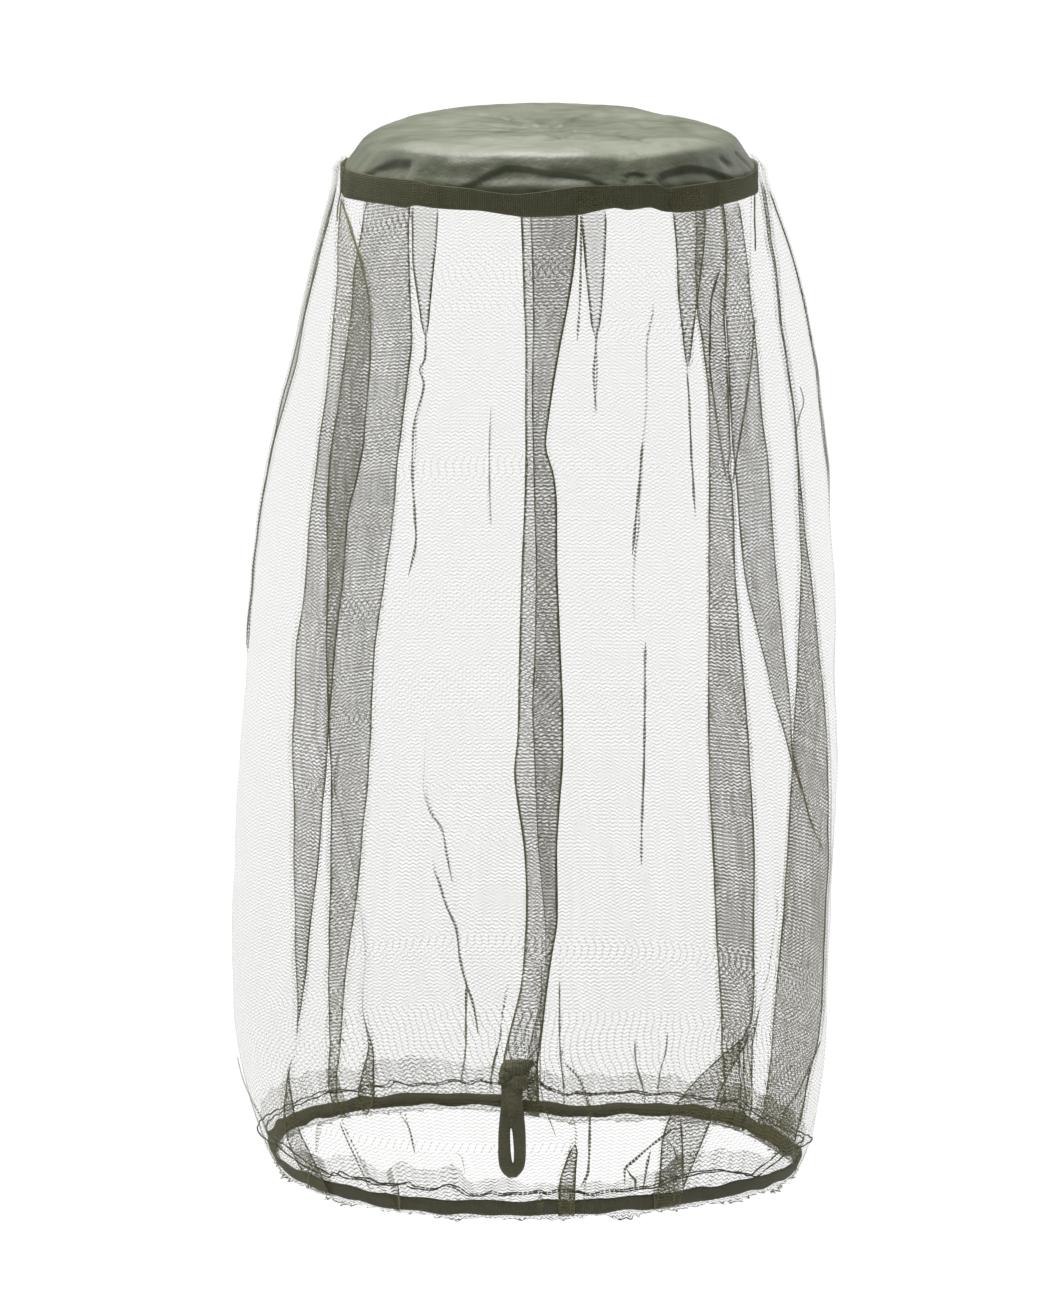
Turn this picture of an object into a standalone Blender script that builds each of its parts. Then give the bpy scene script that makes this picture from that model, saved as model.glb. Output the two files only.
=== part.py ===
"""Mosquito head net, hanging from its fabric crown.

A flat-topped fabric crown, a woven band round its rim, one sheet of net sewn
round the band and hanging in deep folds, a flat elastic in the turned-up hem
and a tape loop sewn inside the hem at the back. The origin is under the middle
of the crown, where a hat or a head carries the net. X is the wearer's left, the
front faces -Y, and Z is up. Lengths in the tables are millimetres, angles are
degrees round the body: 0 at the front, 90 at +X, 180 at the back. Heights in
them start SEAT_DROP above the origin.
"""
import math

import bmesh
import bpy

MM = 0.001

# ------------------------------------------------------------ driving sizes
SEAT_DROP = 9.0  # from the level that heights start at to the crown's underside
NET_SHEET = 1.0  # thickness of the net and of the crown's fabric
LAYER_STEP = 1.6  # from one layer of a fold to the next, so 0.6 stays open
NARROWEST_FOLD = 3.0  # below this a fold has opened
EDGE_SPREAD = 1.6  # how far a fold's points reach where it only stands on edge
FLAT_SPREAD = 5.0  # and where it lies open
FOLD_RAMP = 9.0  # run of cloth that climbs over a fold

NET_TOP = -24.0  # top edge of the net, sewn round the band
HEM_BOTTOM = -530.5  # fold line of the turned-up hem
HEM_TOP = -507.0  # raw edge of the turned-up hem, inside
HEM_STEP = 3.0  # from the wall to the turned-up layer
HEM_RISE_START = -430.0  # above this the hem's rise and fall isn't felt

BAND_TOP = -25.5
BAND_BOTTOM = -39.0
BAND_OUTER = 104.1
BAND_THICK = 1.1

ELASTIC_TOP = -523.6
ELASTIC_BOTTOM = -528.8
ELASTIC_THICK = 1.0
ELASTIC_GAP = 0.45  # from the wall's inner face

LOOP_X = -18.8  # middle of the loop, left of the back seam
LOOP_THICK = 1.6
LOOP_SEAT_GAP = 1.5  # from the turned-up hem's round; its flats come within 0.7
LOOP_HANG = -532.5  # below this the loop hangs free and upright

CROWN_SEGMENTS = 48
BAND_SEGMENTS = 60
LOOP_STEPS = 28
LOOP_STRIPS = 4  # from the loop's rim to its slit

# Body of the net: height, radius and how far its middle stands off the crown's
BODY = (
    (-24, 105.8, 0.0),
    (-31, 106.2, 0.3),
    (-42, 108.8, 1.2),
    (-60, 114.4, 2.0),
    (-85, 121.3, 2.5),
    (-116, 127.6, 2.2),
    (-150, 134.8, 0.5),
    (-195, 141.0, -1.5),
    (-256, 146.4, -3.0),
    (-330, 149.2, -5.0),
    (-390, 150.0, -7.0),
    (-450, 148.8, -8.5),
    (-485, 145.6, -8.3),
    (-502, 142.4, -7.8),
    (-515, 139.0, -7.0),
    (-531, 131.8, -6.4),
)

# Heights of the rows of points down the net's wall
ROWS = (NET_TOP, -31, -42, -60, -85, -120, -155, -190, -225, -260, -295,
        -330, -365, -400, -435, -460, -483, HEM_TOP, -519)

# How the hem rises and falls round the body
HEM_RISE = (
    # angle, rise
    (0, 0.0), (45, 0.6), (78, -1.6), (104, -4.2), (134, 0.2), (154, -1.8),
    (172, -5.0), (190, 0.4), (220, 5.0), (258, 6.6), (280, 3.0), (302, 0.6),
    (332, -1.2),
)

# Folds: where each one's edges lie at these heights, from the band to the hem.
# "steps" are the points across a layer between its edges; facing 1 has the
# outer flap's free edge at the larger angle, -1 at the smaller one.
FOLD_HEIGHTS = (-35, -110, -190, -270, -350, -430, -475, -505)
FOLDS = (
    dict(name="front_centre", facing=1, steps=0,
         start=(6.5, 9, 9, 9, 8, 7, 6, 5),
         end=(13.5, 9.5, 9, 9, 8, 7, 6, 5)),
    dict(name="front_right_gather", facing=1, steps=0,
         start=(32, 30, 30, 34, 40, 44.5, 30.5, 29),
         end=(40, 31.5, 30, 34, 40, 46, 38.5, 29)),
    dict(name="front_right", facing=-1, steps=0,
         start=(44, 38, 40, 48.5, 62, 69, 71, 72),
         end=(56, 51.5, 52, 54.5, 66, 70, 71, 72)),
    dict(name="right_side", facing=-1, steps=0,
         start=(80, 80, 82, 86, 87, 87, 87, 87),
         end=(88, 86, 83, 86, 87, 87, 87, 87)),
    dict(name="back_right", facing=1, steps=1,
         start=(106, 115, 113, 110, 104, 101, 106, 112),
         end=(109, 117.5, 118, 120, 123, 124, 119, 112)),
    dict(name="back_centre_right", facing=-1, steps=0,
         start=(137, 140.5, 140.5, 137, 134, 131.5, 130, 134),
         end=(143, 145, 144, 145, 144.5, 141.5, 139, 134)),
    dict(name="back_centre", facing=1, steps=0,
         start=(173.5, 176, 178.5, 176.5, 175, 175, 178, 181),
         end=(188, 186.5, 184.5, 184, 184.5, 183, 185, 181)),
    dict(name="back_left", facing=-1, steps=1,
         start=(217, 216, 213.5, 212, 214.5, 217.5, 222, 225),
         end=(244, 237, 232, 229, 226, 224.5, 227, 225)),
    dict(name="left_side", facing=1, steps=0,
         start=(264, 266, 269, 271, 271, 271, 271, 271),
         end=(275, 272, 270, 271, 271, 271, 271, 271)),
    dict(name="front_left", facing=1, steps=1,
         start=(286, 301.5, 304.5, 305.5, 306.5, 307.5, 305, 304),
         end=(290, 316.5, 317.5, 316.5, 314, 310, 306, 304)),
    dict(name="front_left_gather", facing=-1, steps=0,
         start=(320.5, 330, 331, 331, 332, 334, 336, 337),
         end=(328.5, 331, 331, 331, 332, 334, 336, 337)),
)
GAP_STEP = 13.0  # most degrees between points of the plain wall

# Low waves of the plain wall, fullest at the front and back
RIPPLES = (
    # waves, start_degrees, drift_per_mm, size
    (5, 40, 0.50, 2.0),
    (8, 155, -0.35, 1.4),
    (13, 290, 0.25, 0.7),
)

# Crown: radius and height of the outer face, from near the middle to the rim
CROWN_MIDDLE = -8.0
CROWN = (
    (24, -8.0), (50, -8.0), (72, -8.2), (85, -9.6), (91.5, -12.6), (95.5, -17.2),
    (99.0, -22.2), (102.2, -27.2),
)
# How the crown's shoulder rises and falls round it: it is highest at the back
SHOULDER_RADIUS, SHOULDER_HEIGHT = 88.0, -12.6
SHOULDER_RISE = (
    # angle, rise
    (0, -0.8), (50, -0.3), (90, -0.8), (112, -0.6), (139, 1.2), (155, 4.6),
    (180, 6.0), (204, 5.2), (230, 2.0), (255, -1.6), (272, -2.4), (310, -0.8),
)
# Dents in the crown's side, and the low creases that run in from its rim
CROWN_DENTS = (
    # angle, half_width, depth
    (-10, 16, 2.2), (26, 9, 1.6), (52, 8, 1.2), (-55, 14, 1.2), (118, 15, 1.6),
    (176, 18, 1.8), (236, 14, 1.4),
)
CROWN_CREASES = ((7, 20, 0.6), (11, 75, 0.45))  # creases, start_degrees, size

# The band sags a little at the front
BAND_SAG_AT, BAND_SAG_WIDTH, BAND_SAG = -8.0, 17.0, 1.6

# Tape loop: half width of its outline, and of the slit in it, at each height
LOOP_OUTLINE = (
    # height, half_width
    (-506.0, 3.4), (-508.5, 7.2), (-513.0, 7.8), (-517.0, 6.4), (-524.0, 5.6),
    (-533.0, 6.4), (-544.0, 7.5), (-553.0, 7.3), (-560.0, 6.0), (-564.5, 3.4),
)
LOOP_TOP, LOOP_BOTTOM = -505.4, -565.6
SLIT_TOP, SLIT_BOTTOM, SLIT_HALF = -539.0, -558.5, 0.95

COLOURS = {
    # name: linear colour, roughness
    "olive_plain_weave": ((0.155, 0.165, 0.105), 0.62),
    "olive_webbing": ((0.060, 0.062, 0.036), 0.85),
    "olive_hex_net": ((0.075, 0.080, 0.050), 0.80),
    "olive_elastic": ((0.052, 0.052, 0.034), 0.85),
}


# ------------------------------------------------------------------ helpers
def smoothstep(low, high, value):
    """0 at low, 1 at high, with low above or below high."""
    part = min(max((value - low) / (high - low), 0.0), 1.0)
    return part * part * (3 - 2 * part)


def smooth_curve(places, values, place):
    """A smooth curve through the points that never swings past them."""
    if places[0] > places[-1]:
        places, values = places[::-1], values[::-1]
    if place <= places[0]:
        return values[0]
    if place >= places[-1]:
        return values[-1]
    k = next(i for i in range(len(places) - 1) if place <= places[i + 1])
    slopes = [(values[i + 1] - values[i]) / (places[i + 1] - places[i])
              for i in range(len(places) - 1)]

    def tangent(i):
        if i == 0 or i == len(places) - 1:
            return slopes[0] if i == 0 else slopes[-1]
        before, after = slopes[i - 1], slopes[i]
        if before * after <= 0:
            return 0.0
        return 2 * before * after / (before + after)

    run = places[k + 1] - places[k]
    t = (place - places[k]) / run
    return ((1 + 2 * t) * (1 - t) ** 2 * values[k]
            + t * (1 - t) ** 2 * run * tangent(k)
            + t * t * (3 - 2 * t) * values[k + 1]
            + t * t * (t - 1) * run * tangent(k + 1))


def column(table, index):
    return tuple(row[index] for row in table)


def round_curve(table, angle):
    """A smooth curve through a table of (angle, value) that closes on itself."""
    turned = [(at - 360, value) for at, value in table[-2:]] + list(table)
    turned += [(at + 360, value) for at, value in table[:2]]
    return smooth_curve(column(turned, 0), column(turned, 1), angle % 360)


def bump(angle, middle, half_width):
    """1 at the middle, 0 past the half width, either way round the body."""
    away = abs((angle - middle + 180) % 360 - 180) / half_width
    return 0.0 if away >= 1 else 0.5 + 0.5 * math.cos(math.pi * away)


def make_object(name, points, faces, material_name):
    mesh = bpy.data.meshes.new(name)
    mesh.from_pydata([(x * MM, y * MM, (z + SEAT_DROP) * MM) for x, y, z in points],
                     [], faces)
    work = bmesh.new()
    work.from_mesh(mesh)
    bmesh.ops.recalc_face_normals(work, faces=work.faces)
    work.to_mesh(mesh)
    work.free()
    mesh.shade_smooth()
    mesh.set_sharp_from_angle(angle=math.radians(40))
    made = bpy.data.objects.new(name, mesh)
    bpy.context.scene.collection.objects.link(made)
    made.data.materials.append(make_material(material_name))
    return made


def make_material(name):
    colour, roughness = COLOURS[name]
    material = bpy.data.materials.get(name) or bpy.data.materials.new(name)
    material.use_nodes = True
    shader = material.node_tree.nodes["Principled BSDF"]
    shader.inputs["Base Color"].default_value = (*colour, 1)
    shader.inputs["Roughness"].default_value = roughness
    shader.inputs["Metallic"].default_value = 0.0
    return material


def shell_faces(rows, columns, turns):
    """Faces of a closed shell: rows of points down an outer and an inner skin.

    Point numbers run row by row over the outer skin, then the inner one.
    turns[row][column] says which diagonal splits each four-sided patch.
    """
    inner = rows * columns
    faces = []
    for row in range(rows - 1):
        for here in range(columns):
            there = (here + 1) % columns
            a, b = row * columns + here, row * columns + there
            c, d = b + columns, a + columns
            halves = ((a, b, c), (a, c, d)) if turns[row][here] else ((a, b, d), (b, c, d))
            for half in halves:
                faces.append(half)
                faces.append(tuple(reversed([inner + i for i in half])))
    for here in range(columns):
        there = (here + 1) % columns
        faces.append((here, inner + here, inner + there, there))
        last = (rows - 1) * columns
        faces.append((last + here, last + there, inner + last + there, inner + last + here))
    return faces


# ---------------------------------------------------------------- net's wall
def body_radius(height):
    return smooth_curve(column(BODY, 0), column(BODY, 1), height)


def body_centre(height):
    return smooth_curve(column(BODY, 0), column(BODY, 2), height)


def hem_rise(angle, height):
    """How far the cloth at this height is lifted by the hem's uneven run."""
    return round_curve(HEM_RISE, angle) * smoothstep(HEM_RISE_START, HEM_TOP, height)


def ripple(angle, height):
    size = smoothstep(-45, -140, height) * (1 - 0.75 * smoothstep(-470, -507, height))
    size *= 0.35 + 0.65 * math.cos(math.radians(angle)) ** 2
    return size * sum(
        depth * math.sin(math.radians(waves * angle + start + drift * height))
        for waves, start, drift, depth in RIPPLES)


def wall_point(angle, out, height):
    """The point at this angle, this far out from the plain wall."""
    radius = body_radius(height) + ripple(angle, height) + out
    turn = math.radians(angle)
    return (body_centre(height) + radius * math.sin(turn),
            -radius * math.cos(turn),
            height + hem_rise(angle, height))


def fold_edges(fold, height):
    return (smooth_curve(FOLD_HEIGHTS, fold["start"], height),
            smooth_curve(FOLD_HEIGHTS, fold["end"], height))


def is_folded(fold, row):
    if not 0 <= row < len(ROWS) or ROWS[row] <= HEM_TOP:
        return False
    start, end = fold_edges(fold, ROWS[row])
    return math.radians(end - start) * body_radius(ROWS[row]) >= NARROWEST_FOLD


def fold_layers(fold, row):
    """A fold's run of (angle, out) from its start to its end.

    Three layers: out over the wall, back, and on again. In the first row past
    the fold the cloth only stands on edge, and beyond that it lies open, its
    points spread along the plain wall.
    """
    radius = body_radius(ROWS[row])
    start, end = fold_edges(fold, ROWS[row])
    middle = (start + end) / 2
    count = fold["steps"] + 2
    folded = is_folded(fold, row)
    on_edge = not folded and (is_folded(fold, row - 1) or is_folded(fold, row + 1))
    run = []
    for layer in range(3):
        for step in range(count):
            part = step / (count - 1)
            if folded:
                along = part if layer != 1 else 1 - part
                angle = start + (end - start) * along
                out = LAYER_STEP * (2 - layer)
            elif on_edge:
                beside = (part - 1, 0, part)[layer]
                angle = middle + math.degrees(EDGE_SPREAD / radius) * beside
                out = LAYER_STEP * (2, 1.4 - 0.8 * part, 0)[layer]
            else:
                share = (layer * count + step) / (3 * count - 1)
                angle = middle + math.degrees(FLAT_SPREAD / radius) * (2 * share - 1)
                out = 0.0
            run.append((angle, out))
    if fold["facing"] == 1:
        return run
    return [(start + end - angle, out) for angle, out in reversed(run)]


def net_columns(row):
    """Every (angle, out) round the body at this row, and each fold's place."""
    runs = [fold_layers(fold, row) for fold in FOLDS]
    ramp = math.degrees(FOLD_RAMP / body_radius(ROWS[row]))
    points, spans = [], []
    for index, run in enumerate(runs):
        spans.append((len(points), len(points) + len(run)))
        points += run
        following = runs[(index + 1) % len(runs)]
        from_angle, from_out = run[-1]
        to_angle, to_out = following[0]
        to_angle += 360 if index == len(runs) - 1 else 0
        gap = to_angle - from_angle
        for step in range(1, GAP_POINTS[index] + 1):
            angle = from_angle + gap * step / (GAP_POINTS[index] + 1)
            near = min(ramp, 0.45 * gap)
            out = max(from_out * (1 - (angle - from_angle) / near),
                      to_out * (1 - (to_angle - angle) / near), 0.0)
            points.append((angle, out))
    return points, spans


def gap_points():
    """Points of plain wall after each fold: enough for its widest gap."""
    counts = []
    for index, fold in enumerate(FOLDS):
        following = FOLDS[(index + 1) % len(FOLDS)]
        wrap = 360 if index == len(FOLDS) - 1 else 0
        widest = max(b + wrap - a for a, b in zip(fold["end"], following["start"]))
        counts.append(max(1, math.ceil(widest / GAP_STEP)))
    return counts


GAP_POINTS = gap_points()


def skin_lean(points, radius):
    """For each point, how far its outer skin stands off, along and out.

    At a fold's edge the skin keeps its distance from both layers, as a mitre.
    """
    count = len(points)
    flat = [(math.radians(angle) * radius, out) for angle, out in points]
    full = 2 * math.pi * radius
    leans = []
    for index in range(count):
        here = flat[index]
        before = flat[index - 1]
        after = flat[(index + 1) % count]
        before = (before[0] - (full if index == 0 else 0), before[1])
        after = (after[0] + (full if index == count - 1 else 0), after[1])
        into = (here[0] - before[0], here[1] - before[1])
        onward = (after[0] - here[0], after[1] - here[1])
        into_length, onward_length = math.hypot(*into), math.hypot(*onward)
        side = (-into[1] / into_length - onward[1] / onward_length,
                into[0] / into_length + onward[0] / onward_length)
        size = math.hypot(*side)
        side = (side[0] / size, side[1] / size)
        spread = -side[0] * into[1] / into_length + side[1] * into[0] / into_length
        reach = NET_SHEET / 2 / max(spread, 0.45)
        leans.append((side[0] * reach, side[1] * reach))
    return leans


def even_leans(points, leans, spans):
    """Lets the points between a layer's two edges lean as its edges do."""
    leans = list(leans)
    for fold, (first, _) in zip(FOLDS, spans):
        count = fold["steps"] + 2
        for layer in range(3):
            low = first + layer * count
            high = low + count - 1
            for step in range(1, count - 1):
                part = step / (count - 1)
                leans[low + step] = tuple(
                    (1 - part) * a + part * b for a, b in zip(leans[low], leans[high]))
    return leans


def make_net():
    outer, inner, angles = [], [], []
    for row, height in enumerate(ROWS):
        points, spans = net_columns(row)
        radius = body_radius(height)
        leans = even_leans(points, skin_lean(points, radius), spans)
        for side, rows in ((1, outer), (-1, inner)):
            rows.append([
                wall_point(angle + side * math.degrees(along / radius), out + side * off,
                           height)
                for (angle, out), (along, off) in zip(points, leans)])
        angles.append([angle for angle, _ in points])
    half = NET_SHEET / 2
    turned = (
        # height of the outer skin, its out, height of the inner skin, its out
        (HEM_BOTTOM - half, half, HEM_BOTTOM + half, -half),
        (HEM_BOTTOM - half, -HEM_STEP - half, HEM_BOTTOM + half, -HEM_STEP + half),
        (ROWS[-1], -HEM_STEP - half, ROWS[-1], -HEM_STEP + half),
        (HEM_TOP, -HEM_STEP - half, HEM_TOP, -HEM_STEP + half),
    )
    for outer_height, outer_out, inner_height, inner_out in turned:
        outer.append([wall_point(a, outer_out, outer_height) for a in angles[-1]])
        inner.append([wall_point(a, inner_out, inner_height) for a in angles[-1]])
        angles.append(angles[-1])
    columns = len(angles[0])
    turns = diagonals(angles, spans, columns)
    points = [p for row in outer for p in row] + [p for row in inner for p in row]
    return make_object("net_body", points, shell_faces(len(outer), columns, turns),
                       "olive_hex_net")


def diagonals(angles, spans, columns):
    """One choice of diagonal for all the layers of a fold between two rows."""
    turns = []
    for upper, lower in zip(angles, angles[1:]):
        row = [lower[i] + lower[(i + 1) % columns] < upper[i] + upper[(i + 1) % columns]
               for i in range(columns)]
        for fold, (first, last) in zip(FOLDS, spans):
            drift = sum(lower[first:last]) < sum(upper[first:last])
            count = fold["steps"] + 2
            for index in range(first, last - 1):
                backwards = (index - first) // count == 1
                row[index] = drift != backwards
        turns.append(row)
    return turns


# --------------------------------------------------------------- crown, band
def crown_push(angle, share):
    """How far in the crown's dents and creases push its skin, share 0 to 1."""
    side = smoothstep(0.55, 0.9, share) * (1 - smoothstep(0.93, 1.0, share))
    dents = sum(depth * bump(angle, at, width) for at, width, depth in CROWN_DENTS)
    middle = smoothstep(0.2, 0.5, share) * (1 - smoothstep(0.7, 0.95, share))
    creases = sum(size * math.sin(math.radians(count * angle + start))
                  for count, start, size in CROWN_CREASES)
    return side * dents + middle * creases


def shoulder_rise(angle, radius, height):
    """How far the crown is lifted here by its shoulder's uneven run."""
    share = min(radius / SHOULDER_RADIUS, 1.0) ** 2
    return round_curve(SHOULDER_RISE, angle) * share * smoothstep(
        CROWN[-1][1], SHOULDER_HEIGHT, height)


def make_crown():
    rows = len(CROWN)
    skins = []
    for inset in (0.0, NET_SHEET):
        points = []
        for index, (radius, height) in enumerate(CROWN):
            low = CROWN[max(index - 1, 0)]
            high = CROWN[min(index + 1, rows - 1)]
            run, drop = high[0] - low[0], low[1] - high[1]
            length = math.hypot(run, drop)
            for step in range(CROWN_SEGMENTS):
                angle = 360 * step / CROWN_SEGMENTS
                push = crown_push(angle, index / (rows - 1)) + inset
                reach = radius - push * drop / length
                turn = math.radians(angle)
                lift = shoulder_rise(angle, radius, height)
                points.append((reach * math.sin(turn), -reach * math.cos(turn),
                               height + lift - push * run / length))
        skins.append(points)
    points = skins[0] + skins[1]
    turns = [[True] * CROWN_SEGMENTS for _ in range(rows)]
    faces = shell_faces(rows, CROWN_SEGMENTS, turns)
    inner = rows * CROWN_SEGMENTS
    # the ring that shell_faces draws across the first row is left out, because
    # the crown's middle closes there with a point on each skin
    faces = [face for face in faces if not (len(face) == 4 and min(face) < CROWN_SEGMENTS)]
    outer_tip, inner_tip = len(points), len(points) + 1
    points += [(0.0, 0.0, CROWN_MIDDLE), (0.0, 0.0, CROWN_MIDDLE - NET_SHEET)]
    for here in range(CROWN_SEGMENTS):
        there = (here + 1) % CROWN_SEGMENTS
        faces.append((outer_tip, there, here))
        faces.append((inner_tip, inner + here, inner + there))
    return make_object("crown_panel", points, faces, "olive_plain_weave")


def ring_of(sections, segments):
    """Points and faces of a closed ring: one section of points at each step."""
    size = len(sections[0])
    points = [p for section in sections for p in section]
    faces = []
    for step in range(segments):
        first, second = step * size, (step + 1) % segments * size
        for corner in range(size):
            following = (corner + 1) % size
            faces.append((first + corner, first + following,
                          second + following, second + corner))
    return points, faces


def make_band():
    sections = []
    for step in range(BAND_SEGMENTS):
        angle = 360 * step / BAND_SEGMENTS
        turn = math.radians(angle)
        sag = BAND_SAG * bump(angle, BAND_SAG_AT, BAND_SAG_WIDTH)
        inner = BAND_OUTER - BAND_THICK
        sections.append([
            (radius * math.sin(turn), -radius * math.cos(turn), height - sag)
            for radius, height in ((inner, BAND_TOP), (BAND_OUTER, BAND_TOP),
                                   (BAND_OUTER, BAND_BOTTOM), (inner, BAND_BOTTOM))])
    return make_object("crown_band", *ring_of(sections, BAND_SEGMENTS), "olive_webbing")


# ------------------------------------------------------------- elastic, loop
def make_elastic():
    near = -(NET_SHEET / 2 + ELASTIC_GAP)
    far = near - ELASTIC_THICK
    sections = []
    for angle, _ in net_columns(len(ROWS) - 1)[0]:
        sections.append([
            wall_point(angle, out, height)
            for out, height in ((far, ELASTIC_TOP), (near, ELASTIC_TOP),
                                (near, ELASTIC_BOTTOM), (far, ELASTIC_BOTTOM))])
    return make_object("hem_elastic", *ring_of(sections, len(sections)),
                       "olive_elastic")


def loop_depth(across, height):
    """How far back the loop's outer face lies: on the hem, then hanging."""
    seat = max(height, LOOP_HANG)
    aside = (LOOP_X + across - body_centre(seat)) / body_radius(seat)
    angle = 180 - math.degrees(math.asin(aside))
    inside = -(HEM_STEP + NET_SHEET / 2 + LOOP_SEAT_GAP)
    return wall_point(angle, inside, min(seat, HEM_TOP) - hem_rise(angle, seat))[1]


def make_loop():
    heights, halves = column(LOOP_OUTLINE, 0), column(LOOP_OUTLINE, 1)
    rim, slit = [], []
    middle = (SLIT_TOP + SLIT_BOTTOM) / 2
    for step in range(LOOP_STEPS):
        turn = 2 * math.pi * step / LOOP_STEPS
        lean = -math.cos(turn)
        reach = middle - LOOP_BOTTOM if lean < 0 else LOOP_TOP - middle
        height = middle + reach * lean
        half = smooth_curve(heights, halves, height)
        at_tip = abs(lean) > 0.999
        rim.append((0.0 if at_tip else math.copysign(half, math.sin(turn)), height))
        slit.append((SLIT_HALF * math.sin(turn),
                     middle + (SLIT_TOP - SLIT_BOTTOM) / 2 * lean))
    sections = []
    for edge, gap in zip(rim, slit):
        across = [tuple(a + (b - a) * step / LOOP_STRIPS for a, b in zip(edge, gap))
                  for step in range(LOOP_STRIPS + 1)]
        back = [(LOOP_X + x, loop_depth(x, z), z) for x, z in across]
        face = [(x, y - LOOP_THICK, z) for x, y, z in back]
        sections.append(back + face[::-1])
    return make_object("tape_loop", *ring_of(sections, LOOP_STEPS), "olive_webbing")


def main():
    for old in list(bpy.context.scene.objects):
        bpy.data.objects.remove(old, do_unlink=True)
    make_crown()
    make_band()
    make_net()
    make_elastic()
    make_loop()


main()
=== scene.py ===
import math

import bpy
import numpy as np
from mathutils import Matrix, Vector, noise


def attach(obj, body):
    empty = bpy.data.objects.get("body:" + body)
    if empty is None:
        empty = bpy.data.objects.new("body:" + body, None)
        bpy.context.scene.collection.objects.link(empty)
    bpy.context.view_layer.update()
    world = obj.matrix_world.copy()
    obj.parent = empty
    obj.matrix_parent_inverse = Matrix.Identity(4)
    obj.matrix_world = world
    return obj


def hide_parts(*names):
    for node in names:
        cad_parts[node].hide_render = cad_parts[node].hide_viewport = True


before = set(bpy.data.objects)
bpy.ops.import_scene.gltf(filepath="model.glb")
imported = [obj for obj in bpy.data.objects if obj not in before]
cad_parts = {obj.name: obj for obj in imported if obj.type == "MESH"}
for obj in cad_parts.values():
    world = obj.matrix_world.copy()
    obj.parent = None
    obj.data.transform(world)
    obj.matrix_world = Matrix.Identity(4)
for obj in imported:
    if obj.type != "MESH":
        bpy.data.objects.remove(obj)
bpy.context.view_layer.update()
scene = bpy.context.scene
mm = 0.001

# A pull-on insect net for the head: fabric crown, woven band, folded tulle,
# elastic in a turned-up hem. Lengths in the tables are millimetres. Angles are
# degrees round the body: 0 at the front (-Y), 90 at +X, 180 at the back.
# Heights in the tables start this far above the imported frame's origin.
seatDrop = 9.0


# camera, first: the tables below give places as the camera sees them
camera = {
    "target": (-9.5, 0.0, -272.8),  # in the tables' heights, as all here
    "distance": 5000.0,
    "lookDown": 8.9,  # degrees
    "lens": 274.6,
    "crownTop": 277.25,  # from the picture's middle up to the crown's top
}


def placeCamera():
    pitch = math.radians(camera["lookDown"])
    forward = Vector((0, math.cos(pitch), -math.sin(pitch)))
    data = bpy.data.cameras.new("studioCamera")
    data.lens = camera["lens"]
    data.sensor_width = 36
    data.clip_end = 50
    made = bpy.data.objects.new("studioCamera", data)
    seat = Vector((0, 0, seatDrop))
    made.location = (Vector(camera["target"]) + seat - forward * camera["distance"]) * mm
    made.rotation_euler = forward.to_track_quat("-Z", "Y").to_euler()
    scene.collection.objects.link(made)
    scene.camera = made


placeCamera()
scene.view_settings.view_transform = "Standard"
scene.cycles.transparent_max_bounces = 48  # a sight line passes up to a dozen layers of net
print("camera placed")


# small helpers
def linear(hexColour):
    # sRGB hex to the linear colour that shaders take
    channels = [int(hexColour[i:i + 2], 16) / 255 for i in (1, 3, 5)]
    return tuple(c / 12.92 if c < 0.04045 else ((c + 0.055) / 1.055) ** 2.4
                 for c in channels) + (1.0,)


def addNode(tree, kind, settings=None, inputs=None):
    # settings are the node's own fields, inputs are values or the sockets that feed them
    made = tree.nodes.new(kind)
    for field, value in (settings or {}).items():
        setattr(made, field, value)
    for key, value in (inputs or {}).items():
        if isinstance(value, bpy.types.NodeSocket):
            tree.links.new(value, made.inputs[key])
        else:
            made.inputs[key].default_value = value
    return made


def newMaterial(name):
    made = bpy.data.materials.new(name)
    made.use_nodes = True
    made.node_tree.nodes.clear()
    return made, made.node_tree


def smoothStep(low, high, value):
    part = np.clip((np.asarray(value, float) - low) / (high - low), 0, 1)
    return part * part * (3 - 2 * part)


def softCurve(places, values, at):
    # a smooth run through the points that never swings past them
    places, values = np.asarray(places, float), np.asarray(values, float)
    if places[0] > places[-1]:
        places, values = places[::-1], values[::-1]
    at = np.clip(np.asarray(at, float), places[0], places[-1])
    slopes = np.diff(values) / np.diff(places)
    lean = np.zeros(len(values))
    lean[0], lean[-1] = slopes[0], slopes[-1]
    same = slopes[:-1] * slopes[1:] > 0
    lean[1:-1][same] = 2 * (slopes[:-1] * slopes[1:])[same] / (slopes[:-1] + slopes[1:])[same]
    k = np.clip(np.searchsorted(places, at) - 1, 0, len(places) - 2)
    run = places[k + 1] - places[k]
    t = (at - places[k]) / run
    return ((1 + 2 * t) * (1 - t) ** 2 * values[k] + t * (1 - t) ** 2 * run * lean[k]
            + t * t * (3 - 2 * t) * values[k + 1] + t * t * (t - 1) * run * lean[k + 1])


def roundTable(table, angles):
    # a table of (angle, value) that closes on itself
    at = np.array([row[0] for row in table], float)
    value = np.array([row[1] for row in table], float)
    at = np.concatenate([at - 360, at, at + 360])
    value = np.concatenate([value, value, value])
    return softCurve(at, value, np.mod(angles, 360))


def runAlong(points):
    # how far each of a row of points lies from the first
    return np.concatenate([[0], np.cumsum(np.linalg.norm(np.diff(points, axis=0), axis=1))])


def closeRows(table):
    return np.concatenate([table, table[:, :1]], axis=1)


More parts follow.
